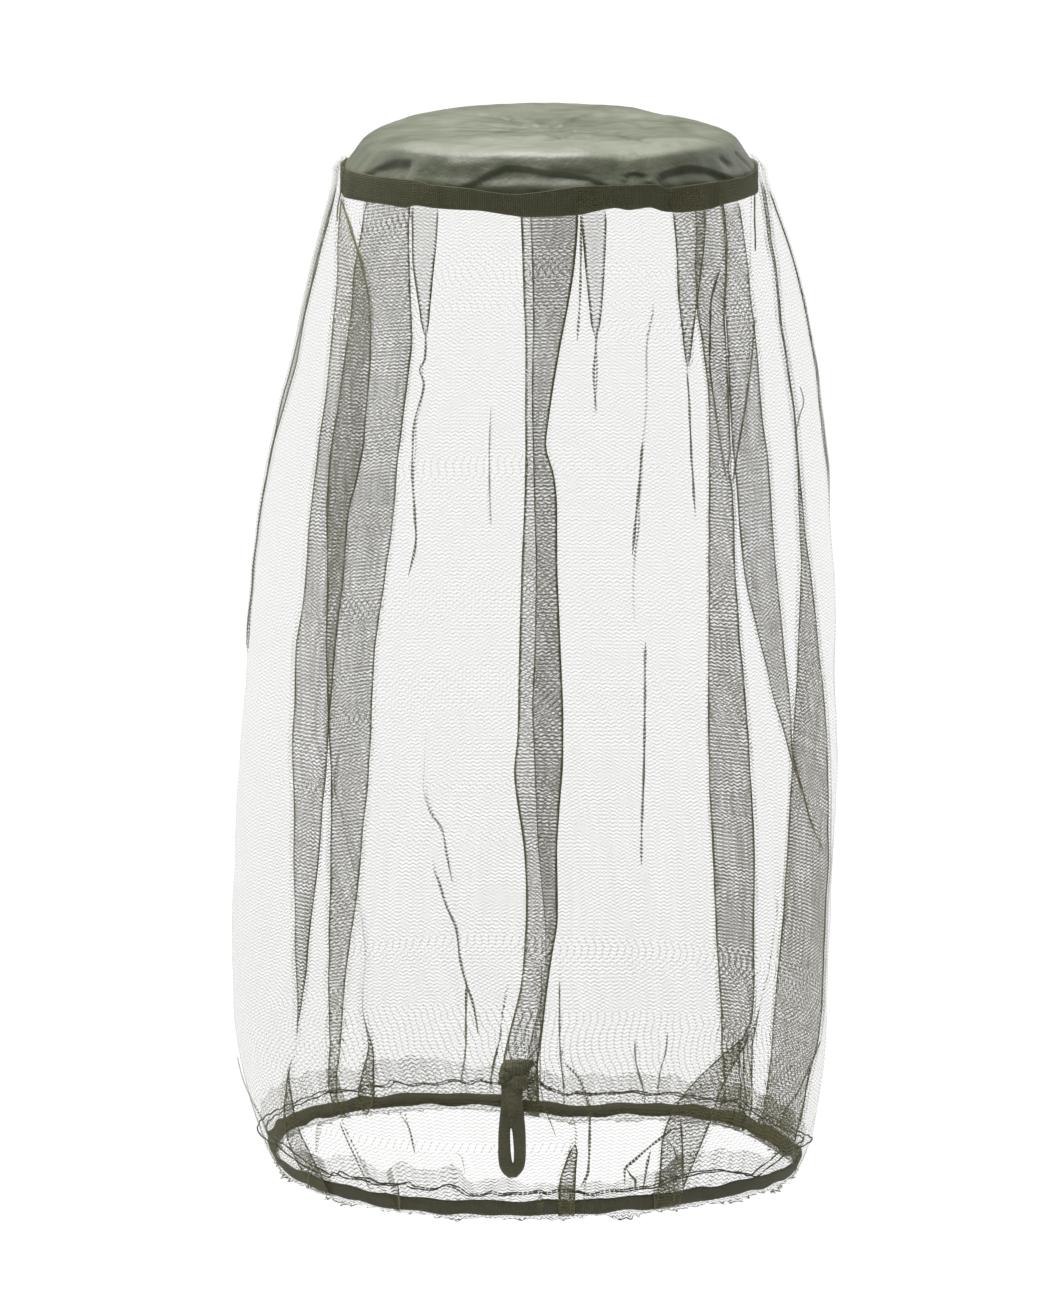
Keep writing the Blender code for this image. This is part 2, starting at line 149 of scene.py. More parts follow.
def gridFaces(rows, columns, across, along, first=0):
    # the faces of a grid of points, and each corner's place in the flat cloth; the grid
    # closes on itself where across and along have a row or column more than it
    faces, flat = [], []
    for row in range(across.shape[0] - 1):
        for column in range(across.shape[1] - 1):
            spots = [(row + k, column + j) for k, j in ((0, 0), (1, 0), (1, 1), (0, 1))]
            faces.append([first + r % rows * columns + c % columns for r, c in spots])
            flat += [(across[spot], along[spot]) for spot in spots]
    return faces, flat


def newPiece(name, points, faces, material, flatPlaces=None, **attributes):
    # points in millimetres; flatPlaces gives each face corner its place in the flat cloth
    mesh = bpy.data.meshes.new(name)
    seated = np.asarray(points, float) + (0, 0, seatDrop)
    mesh.from_pydata((seated * mm).tolist(), [], faces)
    if flatPlaces is not None:
        layer = mesh.uv_layers.new(name="flatCloth")
        layer.data.foreach_set("uv", np.asarray(flatPlaces, np.float32).ravel())
    for key, values in attributes.items():
        layer = mesh.attributes.new(key, "FLOAT", "POINT")
        layer.data.foreach_set("value", np.asarray(values, np.float32).ravel())
    mesh.materials.append(material)
    mesh.shade_smooth()
    made = bpy.data.objects.new(name, mesh)
    scene.collection.objects.link(made)
    return made


def gridPiece(name, points, material, across, along, **attributes):
    rows, columns = points.shape[:2]
    faces, flat = gridFaces(rows, columns, across, along)
    return newPiece(name, points.reshape(-1, 3), faces, material, flat, **attributes)


# materials
tulleLook = {
    "row": 1.9,  # from one row of cells to the next; the real 1.4 is too fine to show
    "zigzag": 3.9,  # from one peak of a row to the next
    "swing": 0.62,  # how far a row swings up and down, in rows
    "stray": 2.6,  # how far the rows pull out of true
    "cover": 0.118,  # how much of the plain cloth is thread
    "soft": 0.16,  # how soft a thread's edge is, in rows
    "densest": 0.5,  # the most that plain cloth hides
    "olive": "#93906B",
    "darkOlive": "#726F51",
}


def knittedTulle():
    # Polyester tulle, warp-knitted: gives the eye rows of fine zigzag that darken
    # wherever layers lie over each other.
    material, tree = newMaterial("knittedPolyesterTulle")
    flat = addNode(tree, "ShaderNodeUVMap", {"uv_map": "flatCloth"})
    stray, half = tulleLook["stray"], -tulleLook["stray"] / 2
    pull = addNode(tree, "ShaderNodeTexNoise", {"noise_dimensions": "2D"},
                   {"Vector": flat.outputs["UV"], "Scale": 0.03, "Detail": 2.0})
    centred = addNode(tree, "ShaderNodeVectorMath", {"operation": "MULTIPLY_ADD"},
                      {0: pull.outputs["Color"], 1: (stray, stray, 0), 2: (half, half, 0)})
    place = addNode(tree, "ShaderNodeVectorMath", {"operation": "ADD"},
                    {0: flat.outputs["UV"], 1: centred.outputs[0]})
    split = addNode(tree, "ShaderNodeSeparateXYZ", None, {0: place.outputs[0]})
    peaks = addNode(tree, "ShaderNodeMath", {"operation": "PINGPONG"},
                    {0: split.outputs["X"], 1: tulleLook["zigzag"] / 2})
    swing = addNode(tree, "ShaderNodeMath", {"operation": "MULTIPLY"},
                    {0: peaks.outputs[0], 1: 2 * tulleLook["swing"] / tulleLook["zigzag"]})
    rowPlace = addNode(tree, "ShaderNodeMath", {"operation": "MULTIPLY_ADD"},
                       {0: split.outputs["Y"], 1: 1 / tulleLook["row"], 2: swing.outputs[0]})
    fromMiddle = addNode(tree, "ShaderNodeMath", {"operation": "PINGPONG"},
                         {0: rowPlace.outputs[0], 1: 0.5})
    # threads draw together where the cloth is gathered or creased, in streaks
    # that run down the folds
    gather = addNode(tree, "ShaderNodeAttribute", {"attribute_name": "gather"})
    drawn = addNode(tree, "ShaderNodeMapping", None,
                    {"Vector": flat.outputs["UV"], "Scale": (0.3, 0.012, 1.0)})
    streak = addNode(tree, "ShaderNodeTexNoise", {"noise_dimensions": "2D"},
                     {"Vector": drawn.outputs[0], "Scale": 1.0, "Detail": 3.0})
    depth = addNode(tree, "ShaderNodeMapRange", None,
                    {"Value": streak.outputs["Fac"], "From Min": 0.3, "From Max": 0.7,
                     "To Min": 0.6, "To Max": 1.45})
    inFold = addNode(tree, "ShaderNodeMapRange", None,
                     {"Value": gather.outputs["Fac"], "From Min": 1.0, "From Max": 1.3})
    share = addNode(tree, "ShaderNodeMix", {"data_type": "FLOAT"},
                    {0: inFold.outputs[0], 2: 1.0, 3: depth.outputs[0]})
    tight = addNode(tree, "ShaderNodeMath", {"operation": "MULTIPLY"},
                    {0: gather.outputs["Fac"], 1: share.outputs[0]})
    edge = addNode(tree, "ShaderNodeMath", {"operation": "MULTIPLY_ADD"},
                   {0: tight.outputs[0], 1: -tulleLook["cover"] / 2, 2: 0.5})
    start = addNode(tree, "ShaderNodeMath", {"operation": "SUBTRACT"},
                    {0: edge.outputs[0], 1: tulleLook["soft"] / 2})
    end = addNode(tree, "ShaderNodeMath", {"operation": "ADD"},
                  {0: edge.outputs[0], 1: tulleLook["soft"] / 2})
    rowThread = addNode(tree, "ShaderNodeMapRange", None,
                        {"Value": fromMiddle.outputs[0], "From Min": start.outputs[0],
                         "From Max": end.outputs[0]})
    # between the rows lie the finer threads that join them: too fine to draw,
    # so they are an even veil
    veil = addNode(tree, "ShaderNodeMath", {"operation": "MULTIPLY"},
                   {0: tight.outputs[0], 1: 0.5 * tulleLook["cover"]})
    cover = addNode(tree, "ShaderNodeMapRange", None,
                    {"Value": rowThread.outputs[0], "To Min": veil.outputs[0],
                     "To Max": tulleLook["densest"]})
    crisp = addNode(tree, "ShaderNodeMix", {"data_type": "FLOAT"},
                    {0: inFold.outputs[0], 2: cover.outputs[0], 3: rowThread.outputs[0]})
    solid = addNode(tree, "ShaderNodeMath", {"operation": "MAXIMUM"},
                    {0: crisp.outputs[0], 1: veil.outputs[0]})
    tint = addNode(tree, "ShaderNodeTexNoise", None,
                   {"Vector": flat.outputs["UV"], "Scale": 0.02, "Detail": 3.0})
    colour = addNode(tree, "ShaderNodeMix", {"data_type": "RGBA"},
                     {"Factor": tint.outputs["Fac"], 6: linear(tulleLook["olive"]),
                      7: linear(tulleLook["darkOlive"])})
    shader = addNode(tree, "ShaderNodeBsdfPrincipled", None,
                     {"Base Color": colour.outputs[2], "Roughness": 0.6,
                      "Specular IOR Level": 0.2, "Alpha": solid.outputs[0]})
    addNode(tree, "ShaderNodeOutputMaterial", None, {"Surface": shader.outputs[0]})
    return material


crownLook = {
    "thread": 0.35,  # drawn coarser than the real 0.15 mm, which wouldn't show
    "light": "#F4F5F2",
    "dark": "#DBDDD6",
    # the cloth's own olive, then the paler colour of a painted highlight on the top and front
    "baseOlive": "#63694F",
    "tight": "#9EA18F",
}


def plainTaffeta():
    # Polyester taffeta, plain-woven and calendered: thin, papery creases and a
    # dull sheen that greys the top; the colour adds a painted highlight on the top and front
    # and painted shade in the top's creases, and leaves the side green.
    material, tree = newMaterial("plainWovenTaffeta")
    place = addNode(tree, "ShaderNodeTexCoord")
    flat = addNode(tree, "ShaderNodeUVMap", {"uv_map": "flatCloth"})
    waves = [addNode(tree, "ShaderNodeTexWave", {"wave_type": "BANDS", "bands_direction": axis},
                     {"Vector": flat.outputs["UV"], "Scale": math.pi / 10 / crownLook["thread"],
                      "Distortion": 0.6, "Detail": 1.0}) for axis in ("X", "Y")]
    weave = addNode(tree, "ShaderNodeMath", {"operation": "MULTIPLY"},
                    {0: waves[0].outputs["Fac"], 1: waves[1].outputs["Fac"]})
    cloud = addNode(tree, "ShaderNodeTexNoise", None,
                    {"Vector": place.outputs["Object"], "Scale": 28.0, "Detail": 5.0,
                     "Roughness": 0.6})
    mottled = addNode(tree, "ShaderNodeMix", {"data_type": "RGBA"},
                      {"Factor": cloud.outputs["Fac"], 6: linear(crownLook["light"]),
                       7: linear(crownLook["dark"])})
    # painted light and shade from this attribute: a paler top, a painted highlight towards the
    # front, painted shade in the top's creases, and random mottle
    tight = addNode(tree, "ShaderNodeAttribute", {"attribute_name": "tight"})
    amount = addNode(tree, "ShaderNodeMapRange", None, {"Value": tight.outputs["Fac"]})
    cloth = addNode(tree, "ShaderNodeMix", {"data_type": "RGBA"},
                    {"Factor": amount.outputs[0], 6: linear(crownLook["baseOlive"]),
                     7: linear(crownLook["tight"])})
    # the painted light and shade, times the random mottle
    mottledWithPaintedLight = addNode(tree, "ShaderNodeMix", {"data_type": "RGBA", "blend_type": "MULTIPLY"},
                   {"Factor": 1.0, 6: cloth.outputs[2], 7: mottled.outputs[2]})
    crease = addNode(tree, "ShaderNodeTexNoise", None,
                     {"Vector": place.outputs["Object"], "Scale": 48.0, "Detail": 5.0,
                      "Roughness": 0.6})
    low = addNode(tree, "ShaderNodeBump", None,
                  {"Height": crease.outputs["Fac"], "Strength": 0.5, "Distance": 0.003})
    fine = addNode(tree, "ShaderNodeBump", None,
                   {"Height": weave.outputs[0], "Strength": 0.25, "Distance": 0.0002,
                    "Normal": low.outputs[0]})
    shader = addNode(tree, "ShaderNodeBsdfPrincipled", None,
                     {"Base Color": mottledWithPaintedLight.outputs[2], "Roughness": 0.45,
                      "Specular IOR Level": 0.6, "Sheen Weight": 0.2,
                      "Sheen Roughness": 0.4, "Normal": fine.outputs[0]})
    addNode(tree, "ShaderNodeOutputMaterial", None, {"Surface": shader.outputs[0]})
    return material


# from one rib to the next in mm, colour of the ribs, and the grooves' darker colour, which is
# painted shade
tapeLook = {
    "wovenBandWebbing": (1.1, "#949476", "#6A6A51"),
    "knittedElasticTape": (0.9, "#807E68", "#5B5947"),
    "ribbedLoopRibbon": (1.0, "#9B987C", "#6C6A53"),
}


def wovenTape(name):
    # Polyester grosgrain: ribs across the tape, softly uneven, matt.
    ridge, raised, grooveShadeColour = tapeLook[name]
    material, tree = newMaterial(name)
    flat = addNode(tree, "ShaderNodeUVMap", {"uv_map": "flatCloth"})
    ribs = addNode(tree, "ShaderNodeTexWave",
                   {"wave_type": "BANDS", "bands_direction": "X"},
                   {"Vector": flat.outputs["UV"], "Scale": math.pi / 10 / ridge,
                    "Distortion": 1.2, "Detail": 2.0, "Detail Scale": 2.0})
    cross = addNode(tree, "ShaderNodeTexWave",
                    {"wave_type": "BANDS", "bands_direction": "Y"},
                    {"Vector": flat.outputs["UV"], "Scale": math.pi / 10 / (0.7 * ridge),
                     "Distortion": 1.0})
    knit = addNode(tree, "ShaderNodeMath", {"operation": "MULTIPLY"},
                   {0: ribs.outputs["Fac"], 1: cross.outputs["Fac"]})
    wear = addNode(tree, "ShaderNodeTexNoise", None,
                   {"Vector": flat.outputs["UV"], "Scale": 0.12, "Detail": 4.0})
    depth = addNode(tree, "ShaderNodeMath", {"operation": "MULTIPLY"},
                    {0: knit.outputs[0], 1: wear.outputs["Fac"]})
    amount = addNode(tree, "ShaderNodeMapRange", None,
                     {"Value": depth.outputs[0], "From Min": 0.05, "From Max": 0.5})
    # painted shade: the grooves between the ribs take the darker colour
    mixed = addNode(tree, "ShaderNodeMix", {"data_type": "RGBA"},
                    {"Factor": amount.outputs[0], 6: linear(grooveShadeColour), 7: linear(raised)})
    bump = addNode(tree, "ShaderNodeBump", None,
                   {"Height": knit.outputs[0], "Strength": 0.7, "Distance": 0.0004})
    shader = addNode(tree, "ShaderNodeBsdfPrincipled", None,
                     {"Base Color": mixed.outputs[2], "Roughness": 0.8,
                      "Normal": bump.outputs[0]})
    addNode(tree, "ShaderNodeOutputMaterial", None, {"Surface": shader.outputs[0]})
    return material


def sewingThread():
    # Spun polyester thread: dull, a shade darker than the tulle.
    material, tree = newMaterial("spunPolyesterThread")
    place = addNode(tree, "ShaderNodeTexCoord")
    fleck = addNode(tree, "ShaderNodeTexNoise", None,
                    {"Vector": place.outputs["Object"], "Scale": 900.0})
    mixed = addNode(tree, "ShaderNodeMix", {"data_type": "RGBA"},
                    {"Factor": fleck.outputs["Fac"], 6: linear("#55543F"),
                     7: linear("#38372A")})
    shader = addNode(tree, "ShaderNodeBsdfPrincipled", None,
                     {"Base Color": mixed.outputs[2], "Roughness": 0.7})
    addNode(tree, "ShaderNodeOutputMaterial", None, {"Surface": shader.outputs[0]})
    return material


def mattWhitePaint():
    # Matt emulsion on the studio's floor and cove: even, with no highlight.
    material, tree = newMaterial("mattWhitePaint")
    shader = addNode(tree, "ShaderNodeBsdfPrincipled", None,
                     {"Base Color": linear("#F6F6F6"), "Roughness": 0.9,
                      "Specular IOR Level": 0.1})
    addNode(tree, "ShaderNodeOutputMaterial", None, {"Surface": shader.outputs[0]})
    return material


tulle = knittedTulle()
taffeta = plainTaffeta()
bandWebbing, elasticTape, loopRibbon = (wovenTape(name) for name in tapeLook)
thread = sewingThread()
print("materials made")


# the body's wall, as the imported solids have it
# height, radius, how far its middle stands off the crown's
bodyTable = np.array([
    (-24, 105.8, 0.0), (-31, 106.2, 0.3), (-42, 108.8, 1.2), (-60, 114.4, 2.0),
    (-85, 121.3, 2.5), (-116, 127.6, 2.2), (-150, 134.8, 0.5), (-195, 141.0, -1.5),
    (-256, 146.4, -3.0), (-330, 149.2, -5.0), (-390, 150.0, -7.0), (-450, 148.8, -8.5),
    (-485, 145.6, -8.3), (-502, 142.4, -7.8), (-515, 139.0, -7.0), (-531, 131.8, -6.4),
])
# angle, how far the hem rises there
hemRise = ((0, 0.0), (45, 0.6), (78, -1.6), (104, -4.2), (134, 0.2), (154, -1.8),
           (172, -5.0), (190, 0.4), (220, 5.0), (258, 6.6), (280, 3.0), (302, 0.6),
           (332, -1.2))
# waves, start in degrees, drift in degrees for each mm of height, size
ripples = ((5, 40, 0.50, 2.0), (8, 155, -0.35, 1.4), (13, 290, 0.25, 0.7))


def wallRadius(height):
    return softCurve(bodyTable[:, 0], bodyTable[:, 1], height)


def wallMiddle(height):
    return softCurve(bodyTable[:, 0], bodyTable[:, 2], height)


def riseAt(angle, height):
    return roundTable(hemRise, angle) * smoothStep(-430, -507, height)


def rippleAt(angle, height):
    size = smoothStep(-45, -140, height) * (1 - 0.75 * smoothStep(-470, -507, height))
    size = size * (0.35 + 0.65 * np.cos(np.radians(angle)) ** 2)
    total = sum(depth * np.sin(np.radians(waves * angle + start + drift * height))
                for waves, start, drift, depth in ripples)
    return size * total


def wallPoint(angle, out, height):
    radius = wallRadius(height) + rippleAt(angle, height) + out
    turn = np.radians(angle)
    return np.stack([wallMiddle(height) + radius * np.sin(turn), -radius * np.cos(turn),
                     height + riseAt(angle, height) + 0 * radius], axis=-1)


def seenAt(down, across, back):
    # height and angle of the wall point that the camera sees this far below the
    # crown's top and right of the picture's middle, on the front or back wall
    pitch = math.radians(camera["lookDown"])
    target, distance = np.array(camera["target"]), camera["distance"]
    forward = np.array((0, math.cos(pitch), -math.sin(pitch)))
    upward = np.array((0, math.sin(pitch), math.cos(pitch)))
    ray = forward * distance + np.array((across, 0, 0)) + upward * (camera["crownTop"] - down)
    eye = target - forward * distance
    depth = 0.0
    for _ in range(12):
        point = eye + ray * ((depth - eye[1]) / ray[1])
        radius = float(wallRadius(point[2]))
        aside = min(max((point[0] - float(wallMiddle(point[2]))) / radius, -0.999), 0.999)
        depth = (1 if back else -1) * radius * math.sqrt(1 - aside * aside)
    angle = math.degrees(math.asin(aside))
    if back:
        angle = 180 - angle
    height = point[2]
    for _ in range(3):
        height = point[2] - float(riseAt(angle, height))
    return height, angle


# tulle: one sheet in folds
sheet = {
    "top": -24.0,
    "bottom": -530.5,
    "rowStep": 4.5,
    "wallStep": 3.0,  # between columns of the plain wall
    "foldStep": 5.0,  # between columns inside a fold
    "layerStep": 1.0,  # from one layer of a fold to the next
    "openBelow": 4.0,  # a fold narrower than this starts to open
    "openSpread": 4.0,  # the width its cloth takes once open
    "edge": 1.45,  # width of the dark line at a fold's edge
    "rim": 7.8,  # and how far its threads draw together
    "ramp": 9.0,  # over which the wall comes out to meet a fold
    "laneGap": 0.35,  # degrees, between two lanes at the least
    "crease": 3.0,  # how far threads draw together in a crease
    "creaseHalf": 0.3,  # half its dark width, as a share of the opened fold
    "turnUp": 3.0,  # from the wall to the turned-up hem
    "ridge": (-1, -0.45, -0.18, 0, 0.18, 0.45, 1),  # columns across a plain crease
    "swell": (1.1, 42, 17),  # depth of its unrest, and the sizes of two swells
}

# Each lane is a fold or crease that runs down the sheet, in order round the
# body. left and right are its edges as the camera sees them: (down from the
# crown's top, across from the picture's middle); both is where the two are one.
# line gives how strongly the closed part shows as a dark crease: (down, strength).
# facing is the way the fold lies, and inner the edge of a second fold inside it.
lanes = [
    dict(name="backLeft", back=True, turn=-360, facing=-1, tone=1.45,
         left=((52, -82), (70, -84.5), (80, -87), (114, -90), (150, -95), (180, -100),
               (200, -101.5), (234, -102.5), (270, -103.5), (314, -102), (338, -100.5),
               (428, -101), (473, -100.5), (488, -102), (496, -102.5)),
         right=((54, -59), (100, -58.5), (124, -58), (144, -61), (170, -64), (202, -67),
                (244, -72.5), (270, -77), (322, -79.5), (340, -80.5), (375, -84), (401, -86.5),
                (428, -90), (454, -93), (473, -94.5), (488, -96.5), (496, -97.5))),
    dict(name="leftSide", facing=1, tone=1.3,
         angles=((-24, -101, -77), (-60, -99, -78), (-110, -97, -80), (-190, -93, -86),
                 (-260, -90, -88), (-280, -89, -89), (-531, -89, -89)),
         line=((0, 0.6), (560, 0.5))),
    dict(name="frontLeft", facing=1, tone=1.35,
         left=((50, -94.5), (94, -96), (124, -98.5), (157, -102.5), (184, -106.5), (204, -109),
               (250, -113), (270, -116.5), (320, -119), (375, -119), (428, -118.5), (454, -117.5),
               (473, -119), (484, -122), (494, -123), (501, -123.5), (512, -122.5), (524, -119.5),
               (534, -114.5)),
         right=((50, -92), (64, -88.5), (77, -83.5), (94, -79), (114, -77), (134, -78),
                (154, -80), (174, -81.5), (194, -85.5), (202, -88.5), (234, -91), (270, -95.5),
                (314, -100), (340, -101.5), (358, -103.5), (384, -106), (410, -109.5),
                (436, -112), (454, -115), (473, -118), (484, -120.5), (494, -120), (502, -118),
                (510, -116.5), (517, -113.5), (524, -109.5), (532, -105.5))),
    dict(name="leftRiseOne",
         line=((506, 0), (512, 1), (540, 0.9), (548, 0.4)),
         both=((60, -84), (120, -74), (200, -82), (300, -94), (338, -98), (400, -100),
               (470, -100), (510, -93.5), (517, -90), (524, -86), (532, -83), (539, -80),
               (543, -74.5), (546, -69))),
    dict(name="frontLeftTuck", facing=1, tone=1.5,
         line=((330, 0), (340, 1.0), (380, 1.0), (388, 0.8), (478, 1.0), (500, 0)),
         left=((406, -83.5), (428, -81.5), (454, -83.5), (473, -79), (482, -82), (500, -86)),
         right=((406, -81.5), (428, -79.5), (454, -81.5), (473, -76), (482, -76), (500, -75.5)),
         both=((60, -76), (120, -68), (200, -74), (300, -86), (338, -99), (356, -93), (388, -86),
               (507, -80.5), (540, -80.5))),
    dict(name="frontLeftGather", facing=-1, tone=1.08,
         line=((118, 0), (128, 1.0), (170, 1.0), (200, 0.8), (216, 0.8), (232, 0), (500, 0),
               (508, 0.8), (526, 0)),
         left=((54, -58.5), (83, -58), (104, -55), (120, -53)),
         right=((54, -45.5), (72, -46.5), (88, -48.5), (104, -50), (122, -51.5)),
         both=((126, -52), (130, -53), (135, -55), (142, -53), (154, -55), (162, -57.5),
               (170, -56.5), (178, -57.5), (192, -58.5), (206, -57), (220, -56.5), (230, -58),
               (300, -62), (420, -66), (506, -61.5), (516, -59.5), (526, -57))),
    dict(name="longCreaseLow",
         line=((380, 0), (388, 0.5), (400, 0.8), (450, 0.8), (468, 0)),
         both=((60, -34), (200, -46), (344, -54), (384, -47), (390, -44.5), (402, -41),
               (414, -36), (428, -34.5), (440, -32), (450, -28.5), (458, -26.5), (466, -25.5),
               (540, -24))),
    dict(name="longCreaseHigh",
         line=((340, 0), (352, 0.5), (366, 0.8), (382, 0.5), (392, 0)),
         both=((60, -30), (200, -40), (344, -51), (355, -48.5), (364, -42.5), (374, -41),
               (390, -38), (414, -31), (440, -26), (466, -20), (540, -18))),
    dict(name="thinLeftOfCentre",
         line=((154, 0), (170, 0.55), (206, 0.5), (216, 0)),
         both=((60, -14), (158, -19.5), (170, -19.5), (190, -20.5), (206, -20.5), (300, -18),
               (540, -6))),
    dict(name="lowTriangle", facing=1, tone=1.6,
         line=((500, 0), (514, 0.6), (545, 0.6)),
         left=((524, 20), (534, 16.5), (540, 14)),
         right=((524, 24), (534, 23), (542, 22.5)),
         both=((60, 5), (300, 5), (480, 12), (517, 24))),
    dict(name="frontCentre", facing=1, tone=1.12,
         line=((120, 0), (127, 1), (148, 0.7), (157, 0), (480, 0), (486, 0.6), (500, 1),
               (536, 0.9), (546, 0.4)),
         left=((57, 25), (84, 27.5), (110, 30)),
         right=((57, 38), (84, 37), (110, 35)),
         both=((126, 33), (136, 33.5), (156, 32), (300, 24), (440, 18), (484, 21), (488, 24),
               (494, 26.5), (504, 29.5), (522, 30), (532, 29.5), (542, 27))),
    dict(name="thinRightOfCentre",
         line=((100, 0), (108, 0.5), (150, 0.3), (178, 0.5), (190, 1), (226, 1), (234, 0.3),
               (258, 0.15), (264, 0), (270, 0), (280, 0.6), (310, 1), (354, 1), (364, 0.3),
               (382, 0)),
         both=((60, 56), (104, 62), (114, 58.5), (137, 57), (164, 56.5), (180, 55), (197, 54),
               (205, 53.2), (210, 54), (227, 51.5), (242, 51), (260, 51.5), (274, 56.5),
               (305, 56.5), (332, 56), (356, 55.5), (380, 55), (540, 42))),
    dict(name="frontRightGather", facing=-1, tone=1.45,
         line=((138, 0), (144, 1), (176, 1), (206, 0.5), (212, 0), (440, 0), (456, 1), (470, 1)),
         left=((55, 70.5), (98, 73), (122, 75.5), (464, 109.5), (468, 105), (474, 99),
               (487, 85.5), (499, 74.5), (506, 70), (517, 65.5), (532, 64.5)),
         right=((55, 88), (80, 86), (106, 82.5), (128, 79.5), (464, 110), (472, 107.5),
                (479, 103.5), (494, 96.5), (512, 91), (524, 85.5), (535, 80), (542, 77.5)),
         both=((142, 77.5), (160, 78.5), (174, 79), (190, 80.5), (206, 81), (300, 92),
               (400, 103))),
    dict(name="frontRight", facing=-1, tone=1.5,
         line=((330, 0), (344, 0.9), (376, 0.8), (386, 0)),
         left=((55, 95), (98, 96), (114, 97), (140, 98), (170, 99.5), (190, 101), (200, 102),
               (222, 103.5), (244, 107), (270, 112.5), (296, 119.5), (316, 125.5), (330, 129),
               (346, 134.5), (365, 140.5), (376, 145.5), (380, 148)),
         right=((52, 104.5), (69, 107), (98, 110.5), (134, 115.5), (164, 118.5), (200, 122),
                (234, 124), (270, 126.5), (298, 130), (320, 130.5), (332, 132.5), (346, 136.5),
                (365, 142), (376, 146.5), (380, 148))),
    dict(name="rightSide", facing=-1, tone=1.3,
         angles=((-35, 82, 88), (-110, 83, 87), (-190, 85, 86), (-270, 87, 87), (-531, 87, 87)),
         line=((0, 0.6), (560, 0.5))),
    dict(name="rightBack", back=True, facing=1, tone=1.75,
         line=((40, 1), (200, 1), (208, 0.6)),
         left=((42, 114), (69, 117), (89, 121), (112, 123.5), (128, 126), (152, 130),
               (170, 131.5), (187, 132.5), (208, 133), (226, 133), (252, 132.5), (278, 131.5),
               (298, 130.5), (323, 129), (340, 128), (367, 127), (394, 125.5), (411, 124.5),
               (428, 123), (446, 121), (464, 120), (480, 119)),
         right=((42, 116.5), (69, 120), (89, 123), (112, 126), (128, 128), (152, 132),
                (170, 133.5), (187, 134.5), (202, 136), (226, 138), (252, 140.5), (278, 143.5),
                (305, 146), (332, 147.5), (358, 148), (376, 148), (394, 147.5), (420, 147),
                (446, 146), (474, 143), (490, 138))),
    dict(name="backRightLine", back=True, facing=1, tone=1.5,
         line=((40, 1), (176, 1), (184, 0), (388, 0), (394, 0.8), (470, 1)),
         left=((392, 123.5), (411, 121.5), (434, 118), (446, 114.5), (464, 110), (471, 105),
               (487, 105), (502, 106)),
         right=((392, 124.5), (411, 122.5), (434, 119), (446, 115.5), (464, 112.5), (471, 111),
                (487, 110.5), (502, 111)),
         both=((44, 110), (60, 109), (86, 109), (106, 109), (146, 108), (170, 105.5), (181, 101),
               (230, 111), (300, 120), (360, 123.5))),
    dict(name="backRight", back=True, facing=1, tone=1.6,
         left=((54, 81.5), (80, 81.5), (106, 83), (122, 86), (140, 89), (158, 90), (234, 90),
               (305, 89), (340, 90), (376, 90.5), (411, 92), (446, 93.5), (471, 94), (494, 96)),
         right=((54, 97), (104, 98), (124, 99), (150, 100.5), (174, 102), (200, 103), (234, 104),
                (270, 106), (305, 108.5), (340, 110.5), (376, 111.5), (411, 111.5), (446, 111),
                (464, 110), (480, 109), (494, 107.5))),
    dict(name="backRiseRight", back=True,
         line=((466, 0), (476, 0.6), (500, 0.9)),
         both=((60, 66), (300, 84), (440, 74), (474, 67.5), (488, 64), (500, 62.5))),
    dict(name="backRiseMiddle", back=True,
         line=((472, 0), (482, 0.7), (500, 0.9)),
         both=((60, 44), (300, 58), (440, 54), (480, 52.5), (487, 54), (500, 57))),
    dict(name="backRiseNear", back=True,
         line=((430, 0), (445, 0.5), (498, 0.9)),
         both=((60, 30), (300, 24), (440, 15), (470, 15), (480, 16.5), (498, 17))),
    dict(name="backCentre", back=True, facing=1, tone=1.25,
         line=((160, 0), (480, 0)),
         left=((54, -4.5), (100, -3), (130, -2), (174, -2), (200, -2.5), (234, -4), (270, -5),
               (320, -6), (336, -8), (350, -6.5), (363, -4.5), (374, -3), (390, -2), (410, -2),
               (434, -3.5), (446, -5), (462, -9), (470, -11), (482, -13.5)),
         right=((59, 24), (88, 21.5), (118, 16), (148, 11), (174, 7.5), (186, 12), (200, 13.5),
                (234, 13.5), (270, 15), (304, 16.5), (334, 16.5), (350, 15), (374, 13.5),
                (400, 14), (412, 14), (428, 11), (446, 8.5), (470, 6), (482, 4)),
         inner=((54, 0), (150, 1), (170, 1.5), (230, 3), (270, 2.5), (304, 1), (340, 2.5),
                (374, 4), (410, 7.5), (428, 8), (446, 6), (482, -2))),
    dict(name="backRiseLoop", back=True,
         line=((440, 0), (450, 0.8), (500, 1)),
         both=((60, -12), (300, -12), (440, -10.5), (452, -13), (470, -15), (482, -18),
               (494, -20))),
    dict(name="backRiseLeft", back=True,
         line=((466, 0), (474, 0.7), (498, 0.9)),
         both=((60, -24), (300, -30), (440, -31), (470, -31.5), (480, -32.5), (491, -34.5))),
]

rows = np.concatenate([np.arange(sheet["top"], sheet["bottom"], -sheet["rowStep"]),
                       [sheet["bottom"]]])


